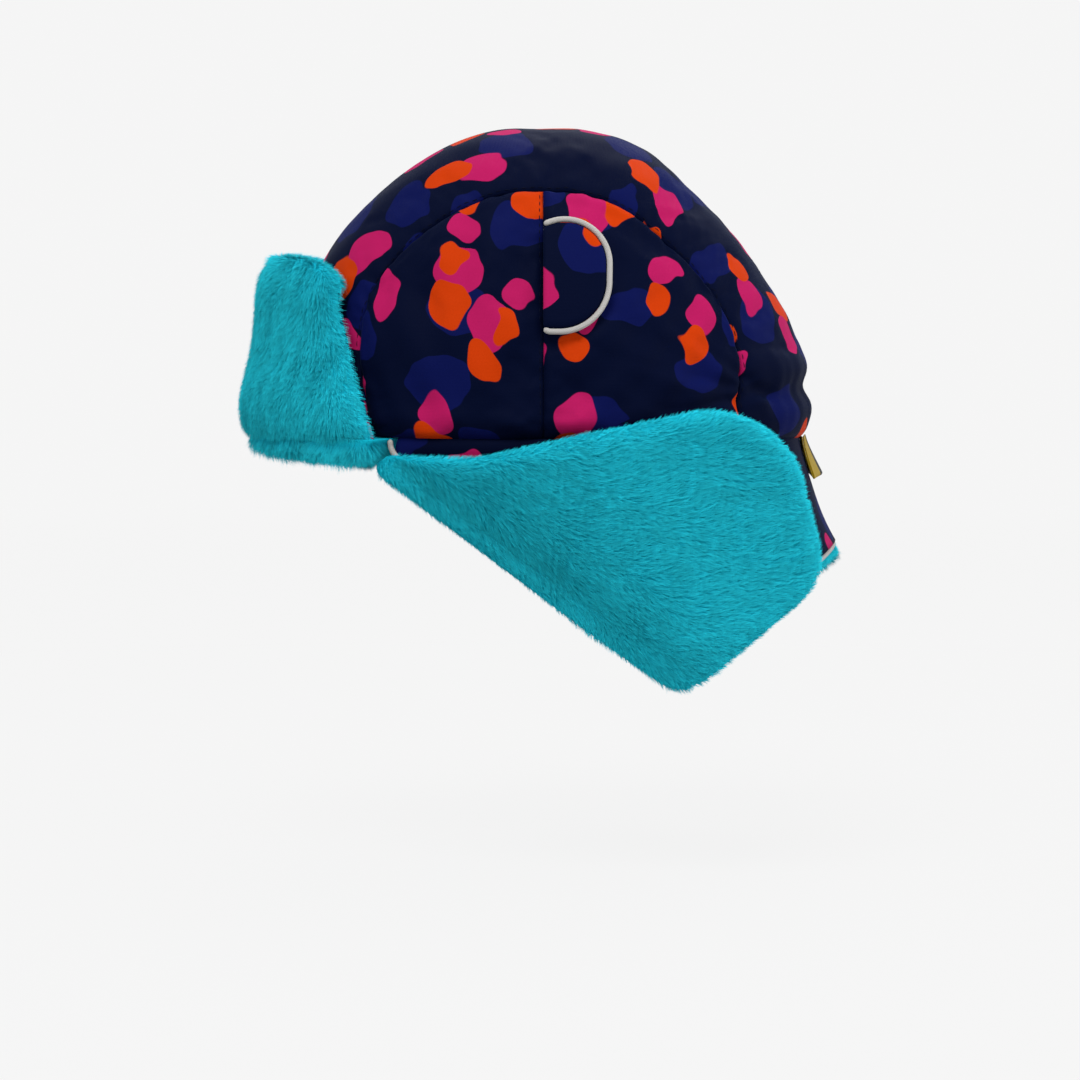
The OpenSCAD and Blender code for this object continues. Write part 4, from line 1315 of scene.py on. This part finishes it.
def hang_flap(names, nodes, a, v, trim_a, print_at, nap, count, seed):
    """A hanging flap on both sides: cloth outside, plush and its pile inside, and piping along the lower
    edge."""
    outer = flap_grid(a, v, 0)
    inner = flap_grid(a, v, flap_shell_t)
    skin, edge = hanging_plush(a, v)
    ground = flap_grid(a, np.linspace(0, 1, len(skin)), flap_shell_t + ease_gap)
    trim_path = lower_edge(trim_a) - hem_normal(trim_a) - [0, 0, trim_drop]
    for side, word in both_sides:
        swing = {"start": (-side * 0.0166, 0.0676, -0.0138), "end": (-side * 0.0280, 0.1138, -0.0232)}
        name = {part: names.format(side=word, part=part) for part in ("cloth", "plush", "pile", "trim")}
        node = {part: nodes.format(side=word, part=part) for part in ("shell", "fur", "piping")}
        shift = [side * print_at[0] + print_at[1], print_at[2]]
        uv = lay_flat(outer)[::-1] * [1, -1]
        cloth = sheet_between(name["cloth"], outer[::-1], inner[::-1], print_cloth, side, uv, shift)
        fix(cloth, "neck_flap", node["shell"], swing)
        uv = lay_flat(skin[::-1])
        plush = sheet_between(name["plush"], ground[::-1], skin[::-1], plush_base, side, uv)
        fix(plush, "neck_flap", node["fur"], swing)
        strands = grow_pile(
            name["pile"], skin[::-1, ::-1], np.array(nap), count, seed + side, side, edge[::-1, ::-1]
        )
        fix(strands, "neck_flap", None, swing)
        piping(name["trim"], trim_path, hem_normal(trim_a), side, "neck_flap", node["piping"], swing)


hang_flap(
    "{side}_ear_base_{part}",
    "{side}_ear_base_{part}",
    a=np.linspace(flap_start, base_end, 75),
    v=np.linspace(0, 1, 41) ** row_power,
    trim_a=np.linspace(base_trim_start, base_end, 40),
    print_at=(240, 900, 300),
    nap=(0, 0.4, -1),
    count=base_pile,
    seed=60,
)

corner_trim_flat = np.array(
    [[-63.6, -0.6], [-63.4, -3.6], [-61.6, -6.8], [-58.2, -8.9], [-53.4, -10.2], [-48, -13.4]]
)
corner_trim_a = np.degrees(np.arccos(-corner_trim_flat[:, 0] / crown_radii[0]))
corner_trim_knots = hem_at(corner_trim_a) * [1, 1, 0] + hem_normal(corner_trim_a)
corner_trim_knots = corner_trim_knots + corner_trim_flat[:, 1:] * [0, 0, 1]
corner_trim_knots = corner_trim_knots[:, None].repeat(2, 1)
corner_trim_path = finer(corner_trim_knots, np.linspace(0, 1, 40), np.array([0.0]))[:, 0]
corner_trim_face = hem_normal(np.degrees(np.arccos(-corner_trim_path[:, 1] / crown_radii[0])))
for side, word in both_sides:
    piping(f"{word}_ear_corner_trim", corner_trim_path, corner_trim_face, side, "crown")

# Neck flap
# Between the two ear flaps a printed flap hangs over the nape, plush inside and piped along its lower
# edge. It is sewn to the hem, joined at the middle, and can be turned up.
neck_pile = 14000
neck_start = 148.0
neck_a = np.linspace(neck_start, 180, 41)
neck_v = np.linspace(0, 1, 33) ** row_power

hang_flap(
    "neck_flap_{part}_{side}",
    "neck_flap_{part}",
    a=neck_a,
    v=neck_v,
    trim_a=neck_a,
    print_at=(170, 1300, 700),
    nap=(0, 0.3, -1),
    count=neck_pile,
    seed=70,
)

# Ear lobes
# The lower part of each ear flap, folded up so that its plush shows outside. Its printed side faces
# the crown, and grey piping runs round its free edge.
fold_along = unit(fold_rear - fold_front)
fold_out = unit(np.cross(fold_along, [0, 0, 1]) * [1, 1, 0])
fold_up = np.cross(fold_out, fold_along)
fold_origin = np.array([74.0557, -62.5888, -11.3])
lobe_half_t = 5.65
lobe_corners = np.array([[-16.5, -5.3, 5], [144, -5.3, 16], [162, 63, 24], [105, 111, 36], [22, 20, 60]])
lobe_middle = np.array([98.0, 36.0])
lobe_lift = 15
lobe_lift_from = 2
lobe_lift_run = 18
lobe_bend = 0.26
lobe_bend_from = 60
lobe_bend_round = 30
lobe_bend_run = 30
lobe_free_spread = 0.7
lobe_fold_spread = 2.0
lobe_edge_most = 70
lobe_rim_share = 0.35
lobe_rim_power = 16
lobe_fold_round = 20
lobe_fold_run = 30
lobe_nap_turn = 50
lobe_nap_fade = 17
lobe_nap_lean = 6
lobe_trim_inset = 1.7
lobe_trim_out = -3.6
lobe_pile = 62000


def rounded_outline(corners, count):
    """Closed outline through corners (place, place, radius), each rounded by an arc that runs backwards at
    a hollow corner, in even steps."""
    pieces = []
    for i in range(len(corners)):
        here, radius = corners[i, :2], corners[i, 2]
        back = unit(corners[i - 1, :2] - here)
        ahead = unit(corners[(i + 1) % len(corners), :2] - here)
        half = math.acos(np.clip(back @ ahead, -1, 1)) / 2
        centre = here + unit(back + ahead) * radius / math.sin(half)
        spread = (math.pi / 2 - half) * np.sign(ahead[0] * back[1] - ahead[1] * back[0])
        middle = math.atan2(*(here - centre)[::-1])
        turn = middle + np.linspace(-spread, spread, 60)
        pieces.append(centre + radius * np.stack([np.cos(turn), np.sin(turn)], -1))
    path = np.concatenate(pieces + [pieces[0][:1]])
    lengths = lengths_along(path)
    return read_at(np.linspace(0, lengths[-1], count, endpoint=False), lengths, path)


def on_lobe(xp, o):
    """Point at place x along the fold and p across it, o out from the lobe's middle. The lobe lifts off
    the base above the fold, and its rear bends back towards the head."""
    x, p = np.moveaxis(xp, -1, 0)
    climb = np.maximum(0, p - lobe_lift_from)
    past = x - lobe_bend_from
    bend = (np.sqrt(past**2 + lobe_bend_round**2) + past) / 2
    lift = lobe_lift * (1 - np.exp(-climb / lobe_lift_run))
    lift = lift - lobe_bend * bend * (1 - np.exp(-climb / lobe_bend_run))
    place = x[..., None] * fold_along + p[..., None] * fold_up + (np.asarray(o) + lift)[..., None] * fold_out
    return fold_origin + place


def disc(front, back):
    """Closed sheet between two sets of rings from a middle outwards; the first ring closes in one face."""
    rings, around = front.shape[:2]
    n = np.arange(rings * around).reshape(rings, around)
    n = np.concatenate([n, n[:, :1]], 1)
    face = np.stack([n[:-1, :-1], n[1:, :-1], n[1:, 1:], n[:-1, 1:]], -1).reshape(-1, 4)
    cap = n[:1, :-1]
    back_from = rings * around
    rim = np.stack([n[-1, :-1], n[-1, :-1] + back_from, n[-1, 1:] + back_from, n[-1, 1:]], -1)
    points = np.concatenate([front.reshape(-1, 3), back.reshape(-1, 3)])
    return points, [face, face[:, ::-1] + back_from, cap, cap[:, ::-1] + back_from, rim]


def looped(grid):
    """Rings closed by their first point again, turned so that they make the columns' direction."""
    return np.swapaxes(np.concatenate([grid, grid[:, :1]], 1), 0, 1)


def inset(outline, depth):
    """A closed outline moved inwards by a depth, square to its own direction."""
    step = np.roll(outline, -1, axis=0) - np.roll(outline, 1, axis=0)
    return outline + depth * unit(np.stack([-step[:, 1], step[:, 0]], -1))


def free_run(outline, free):
    """The part of a closed outline that is free, from where it starts to be."""
    start = np.argmax(np.diff(np.append(free, False).astype(int)) == 1) + 1
    return np.roll(outline, -start, axis=0)[np.roll(free, -start)]


lobe_outline = rounded_outline(lobe_corners, 200)
lobe_share = places(0.02, 0.8, 1, 30, 14)[:, None]
lobe_rays = lobe_outline - lobe_middle
lobe_ray = np.linalg.norm(lobe_rays, axis=-1)
lobe_rings = lobe_middle + lobe_share[..., None] * lobe_rays
plush_spread = np.where(lobe_outline[:, 1] > 0, lobe_free_spread, lobe_fold_spread)
plush_rings = lobe_middle + (lobe_share * (1 + plush_spread / lobe_ray))[..., None] * lobe_rays
lobe_edge = (1 - lobe_share) * np.minimum(lobe_ray, lobe_edge_most)
lobe_thin = mix(1, lobe_rim_share, lobe_share**lobe_rim_power)
lobe_round = mix(pad_round, lobe_fold_round, ramp(-lobe_outline[:, 1], -lobe_fold_run, lobe_fold_run))
lobe_turn = lobe_nap_turn * np.exp(-np.maximum(plush_rings[..., 1], 0) / lobe_nap_fade)
lobe_turn = np.radians(lobe_turn - lobe_nap_lean)
lobe_nap = np.stack([0 * lobe_turn, np.cos(lobe_turn), -np.sin(lobe_turn)], -1)
lobe_floor = (-lobe_half_t + flap_shell_t + ease_gap) * lobe_thin
lobe_ground = on_lobe(plush_rings, lobe_floor)
lobe_skin = on_lobe(plush_rings, lobe_floor + skin_t + pad_height * round_off(lobe_edge, lobe_round))
lobe_back = on_lobe(lobe_rings, -lobe_half_t * lobe_thin)
lobe_face = on_lobe(lobe_rings, (-lobe_half_t + flap_shell_t) * lobe_thin)
lobe_piped = inset(rounded_outline(lobe_corners, 260), lobe_trim_inset)
lobe_piped = free_run(lobe_piped, lobe_piped[:, 1] > lobe_half_t)
lobe_trim_path = on_lobe(lobe_piped, np.full(len(lobe_piped), lobe_trim_out))
lobe_trim_face = np.broadcast_to(fold_out, lobe_trim_path.shape)


def across_fold(way, before, beyond, side):
    """Start and end of a bend across the fold, in metres: distances before and beyond it along a way."""
    mirrored = np.array([side, 1, 1])
    ends = [(fold_origin + distance * way) * mirrored * MM for distance in (-before, beyond)]
    return {"start": tuple(ends[0]), "end": tuple(ends[1])}


for side, word in both_sides:
    body = f"{word}_ear_lobe"
    cloth_fold = across_fold(fold_up, before=2, beyond=6, side=side)
    plush_fold = across_fold(unit(fold_out + fold_up), before=8, beyond=4, side=side)
    shift = [1700, 300 + side * 250]
    lobe_cloth = sheet_between(
        f"{word}_lobe_cloth", lobe_face, lobe_back, print_cloth, side, lobe_rings, shift, disc
    )
    fix(lobe_cloth, body, f"{body}_shell", cloth_fold)
    lobe_plush = sheet_between(
        f"{word}_lobe_plush", lobe_skin, lobe_ground, plush_base, side, lobe_rings, close=disc
    )
    fix(lobe_plush, body, f"{body}_fur", plush_fold)
    skin, nap, edge = looped(lobe_skin), looped(lobe_nap), looped(lobe_edge)
    pile = grow_pile(f"{word}_lobe_pile", skin, nap, lobe_pile, 80 + side, side, edge)
    fix(pile, body, None, plush_fold)
    piping(f"{word}_lobe_trim", lobe_trim_path, lobe_trim_face, side, body, f"{body}_piping")

# Chin fastening
# A patch of soft loop tape is sewn to the printed side of the left lobe, and one of hook tape to the
# plush side of the right, so that the lobes close under the chin.
patch_l = 42.0
patch_w = 24.0
patch_t = 1.5
patch_reach = 0.35
patch_r = 4.0
patch_edge_round = 1.5

chin_tape = new_material("hook_and_loop_tape", roughness=0.85, sheen=0.2, specular=0.2)
chin_cells = {"Vector": flat_place(chin_tape), "Scale": 900.0}
chin_nap = shade(chin_tape, "ShaderNodeTexVoronoi", chin_cells, voronoi_dimensions="2D").outputs["Distance"]
chin_tone = layered(chin_tape, chin_nap, colour(34, 42, 78), colour(8, 12, 30))
dress(chin_tape, chin_tone, chin_nap, strength=0.9, depth=0.0005)

lobe_centre = lobe_corners[:4, :2].mean(0)
patch_place = mix(lobe_centre, lobe_corners[3, :2], patch_reach)
patch_way = unit(lobe_corners[3, :2] - lobe_centre)
patch_aside = np.array([-patch_way[1], patch_way[0]])
patch_square = np.array([[-1, -1, 0], [1, -1, 0], [1, 1, 0], [-1, 1, 0]]) * [patch_l / 2, patch_w / 2, 0]
patch_outline = rounded_outline(patch_square + [0, 0, patch_r], 96)
patch_share = places(0.05, 0.85, 1, 8, 6)[:, None]
patch_flat = patch_share[..., None] * patch_outline
patch_turned = patch_place + patch_flat[..., :1] * patch_way + patch_flat[..., 1:] * patch_aside
patch_dome = patch_t * (0.5 + 0.5 * round_off((1 - patch_share) * patch_w / 2, patch_edge_round))
patch_out = lobe_half_t + ease_gap
for kind, side, word, front_o, back_o in (
    ("loop", 1, "left", -patch_out + 0 * patch_dome, -patch_out - patch_dome),
    ("hook", -1, "right", patch_out + patch_dome, patch_out + 0 * patch_dome),
):
    front, back = on_lobe(patch_turned, front_o), on_lobe(patch_turned, back_o)
    chin_patch = sheet_between(f"chin_{kind}_tape", front, back, chin_tape, side, patch_flat, close=disc)
    fix(chin_patch, f"{word}_ear_lobe", f"chin_{kind}_patch")

# Side tabs
# A small D-shaped printed tab is caught in each upright seam and lies on the rear panel, with piping
# round its curved edge.
tab_corners = np.array([[-4, 43, 1.5], [19.8, 42.6, 18], [20.8, 91, 16], [-4, 81.6, 1.5]])
tab_middle = np.array([6.0, 62.0])
tab_low = 0.5
tab_t = 2.4
tab_edge_share = 0.45
tab_half = 18
tab_edge_round = 3
tab_trim_out = 1.3
tab_trim_from = -3.6
tab_trim_height = 1.8


def over_crown(yz, height):
    """Point above the dome's left side at a side-view place."""
    return below_crown(crown_beside(yz[..., 0], yz[..., 1]), -np.asarray(height))


tab_outline = rounded_outline(tab_corners, 160)
tab_share = places(0.03, 0.8, 1, 14, 10)[:, None]
tab_flat = tab_middle + tab_share[..., None] * (tab_outline - tab_middle)
tab_dome = tab_t * mix(tab_edge_share, 1, round_off((1 - tab_share) * tab_half, tab_edge_round))
tab_face = over_crown(tab_flat, tab_low + tab_dome)
tab_back = over_crown(tab_flat, tab_low + 0 * tab_dome)
tab_ring_corners = tab_corners + tab_trim_out * np.array([[0, -1, 1], [1, -1, 1], [1, 1, 1], [0, 1, 1]])
tab_ring = rounded_outline(tab_ring_corners, 220)
tab_ring = free_run(tab_ring, tab_ring[:, 0] > tab_trim_from)
tab_path = over_crown(tab_ring, np.full(len(tab_ring), tab_trim_height))
for side, word in both_sides:
    body = f"{word}_tab"
    shift = [2100, 120 + side * 90]
    tab = sheet_between(f"{word}_tab_cloth", tab_face, tab_back, print_cloth, side, tab_flat, shift, disc)
    fix(tab, body, f"{word}_side_tab")
    piping(f"{word}_tab_trim", tab_path, crown_normal(tab_path), side, body, f"{word}_side_tab_piping")

# Nape label
# A short folded ribbon is caught in the hem seam at the nape and hangs over the neck flap. It is plain
# yellow, with one dark woven edge.
label_w = 22.0
label_l = 17.0
label_t = 0.5
label_turn = 1.6
label_gape = 5.2
label_near_gap = 0.03
label_twist = 0.4
label_top = 2.2
label_off = 0.9
label_dark_w = 5.5

label_ribbon = new_material("label_ribbon", roughness=0.6, sheen=0.0, specular=0.2)
label_place = flat_place(label_ribbon)
label_axes = shade(label_ribbon, "ShaderNodeSeparateXYZ", {"Vector": label_place})
label_height = weave(label_ribbon, label_place, pitch=0.0005)
label_tone = layered(label_ribbon, label_height, colour(150, 124, 4), colour(176, 150, 16))
label_edge = reckon(label_ribbon, "LESS_THAN", label_axes.outputs[0], (label_dark_w - label_w / 2) * MM)
label_colour = layered(label_ribbon, label_edge, label_tone, colour(26, 24, 22))
dress(label_ribbon, label_colour, label_height, strength=0.5, depth=0.0002)

label_run = label_top + np.linspace(0, label_l - label_turn, 20)
label_arc = np.linspace(0, np.pi, 13)[1:-1]
label_drop = np.concatenate([label_run, label_run[-1] + label_turn * np.sin(label_arc), label_run[::-1]])
label_layer = np.concatenate([np.ones(20), (1 + np.cos(label_arc)) / 2, np.zeros(20)])
label_across = np.linspace(-label_w / 2, label_w / 2, 23)
nape_line = flap_grid(np.array([180.0]), neck_v, -label_off)[:, 0]


def label_grid(shift):
    """The folded ribbon: its inner layer follows the flap, its outer layer stands off, further down and to
    the right, and both are moved by a shift square to the ribbon's run."""
    flap_y = np.interp(label_drop, -nape_line[:, 2], nape_line[:, 1])[:, None]
    down = (label_drop[:, None] - label_top) / label_l
    aside = 0.5 - label_across / label_w
    gape = label_t + label_near_gap + mix(label_twist, 1, down) * label_gape * aside
    y = flap_y + gape * label_layer[:, None]
    z = -label_drop[:, None] + 0 * y
    step_y, step_z = np.gradient(y, axis=0), np.gradient(z, axis=0)
    size = np.hypot(step_y, step_z)
    moved = (label_across, y - shift * step_z / size, z + shift * step_y / size)
    return np.stack(np.broadcast_arrays(*moved), -1)


label_outer = label_grid(label_t / 2)
label_inner = label_grid(-label_t / 2)
label_uv = np.stack(np.broadcast_arrays(label_across, lay_flat(label_outer[::-1])[..., 1]), -1)
label = sheet_between("nape_label", label_outer[::-1], label_inner[::-1], label_ribbon, 1, label_uv)
fix(label, "neck_flap", "label_loop")

# Floor, light and camera
# A plain pale studio: the floor and the world look the same to the camera, so that no horizon shows. The
# floor lies where the lobes clear it when they hang down, and still takes the hat's soft shadow.
backdrop_level = 0.915
world_light = 0.54
floor_drop = 0.072
floor_half = 4
floor_glow_level = 0.864
floor_fade_from = 0.7
floor_fade_to = 2.2
view_tilt = math.radians(4.2)
view_distance = 1.6
aim_y = -0.0053
aim_rise = -0.045
lens_mm = 130.07
sensor_mm = 36


def seen_directly(owner):
    """One where a ray comes from the camera, a mirror or glass, which then all show the same backdrop."""
    path = shade(owner, "ShaderNodeLightPath", {})
    seen = reckon(owner, "MAXIMUM", path.outputs["Is Camera Ray"], path.outputs["Is Glossy Ray"])
    return reckon(owner, "MAXIMUM", seen, path.outputs["Is Transmission Ray"])


pale_floor = bpy.data.materials.new("pale_floor")
pale_floor.use_nodes = True
floor_shader = shader_of(pale_floor)
floor_shader.inputs["Roughness"].default_value = 0.9
floor_shader.inputs["Specular IOR Level"].default_value = 0.0
floor_shader.inputs["Emission Color"].default_value = (1, 1, 1, 1)
floor_seen = seen_directly(pale_floor)
floor_glow = reckon(pale_floor, "MULTIPLY", floor_seen, floor_glow_level)
floor_links = pale_floor.node_tree.links
floor_links.new(floor_glow, floor_shader.inputs["Emission Strength"])
dress(pale_floor, layered(pale_floor, floor_seen, (0.5, 0.5, 0.5, 1), (0.04, 0.04, 0.04, 1)))
floor_side = shade(pale_floor, "ShaderNodeNewGeometry", {}).outputs["Backfacing"]
floor_away = shade(pale_floor, "ShaderNodeVectorMath", {0: hat_place(pale_floor)}, operation="LENGTH")
floor_fade = share_of(pale_floor, floor_away.outputs["Value"], floor_fade_from, floor_fade_to)
floor_gone = reckon(pale_floor, "MAXIMUM", floor_side, floor_fade)
floor_clear = shade(pale_floor, "ShaderNodeBsdfTransparent", {})
floor_layers = {0: floor_gone, 1: floor_shader.outputs[0], 2: floor_clear.outputs[0]}
floor_both = shade(pale_floor, "ShaderNodeMixShader", floor_layers)
floor_links.new(floor_both.outputs[0], pale_floor.node_tree.nodes["Material Output"].inputs["Surface"])

floor_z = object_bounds()[0].z - floor_drop
floor_corners = [(x * floor_half, y * floor_half, floor_z) for x, y in ((-1, -1), (1, -1), (1, 1), (-1, 1))]
floor_mesh = bpy.data.meshes.new("floor")
floor_mesh.from_pydata(floor_corners, [], [(0, 1, 2, 3)])
floor_mesh.materials.append(pale_floor)
floor = bpy.data.objects.new("floor", floor_mesh)
scene.collection.objects.link(floor)

world = bpy.data.worlds.new("studio")
scene.world = world
world.use_nodes = True
sky = world.node_tree.nodes["Background"]
sky.inputs["Color"].default_value = (1, 1, 1, 1)
world_level = carried(world, seen_directly(world), world_light, backdrop_level)
world.node_tree.links.new(world_level, sky.inputs["Strength"])


def soft_lamp(name, place, size, watts):
    """A large square lamp that points at the middle of the hat."""
    lamp = bpy.data.lights.new(name, "AREA")
    lamp.shape = "SQUARE"
    lamp.size = size
    lamp.energy = watts
    obj = bpy.data.objects.new(name, lamp)
    obj.location = place
    obj.rotation_euler = (-Vector(place)).to_track_quat("-Z", "Y").to_euler()
    scene.collection.objects.link(obj)


soft_lamp("key", (1.15, -0.4, 1.8), size=1.2, watts=33)
soft_lamp("fill", (0.55, 1.75, 0.6), size=1.4, watts=15)
soft_lamp("rim", (-1.2, 0.3, 1.4), size=1.2, watts=12)

view_back = np.array([math.cos(view_tilt), 0, math.sin(view_tilt)])
view_up = np.array([-math.sin(view_tilt), 0, math.cos(view_tilt)])
camera_data = bpy.data.cameras.new("camera")
camera_data.lens = lens_mm
camera_data.sensor_width = sensor_mm
camera = bpy.data.objects.new("camera", camera_data)
camera.location = view_back * view_distance + np.array([0, aim_y, 0]) + view_up * aim_rise
camera.rotation_euler = (math.pi / 2 - view_tilt, 0, math.pi / 2)
scene.collection.objects.link(camera)
scene.camera = camera
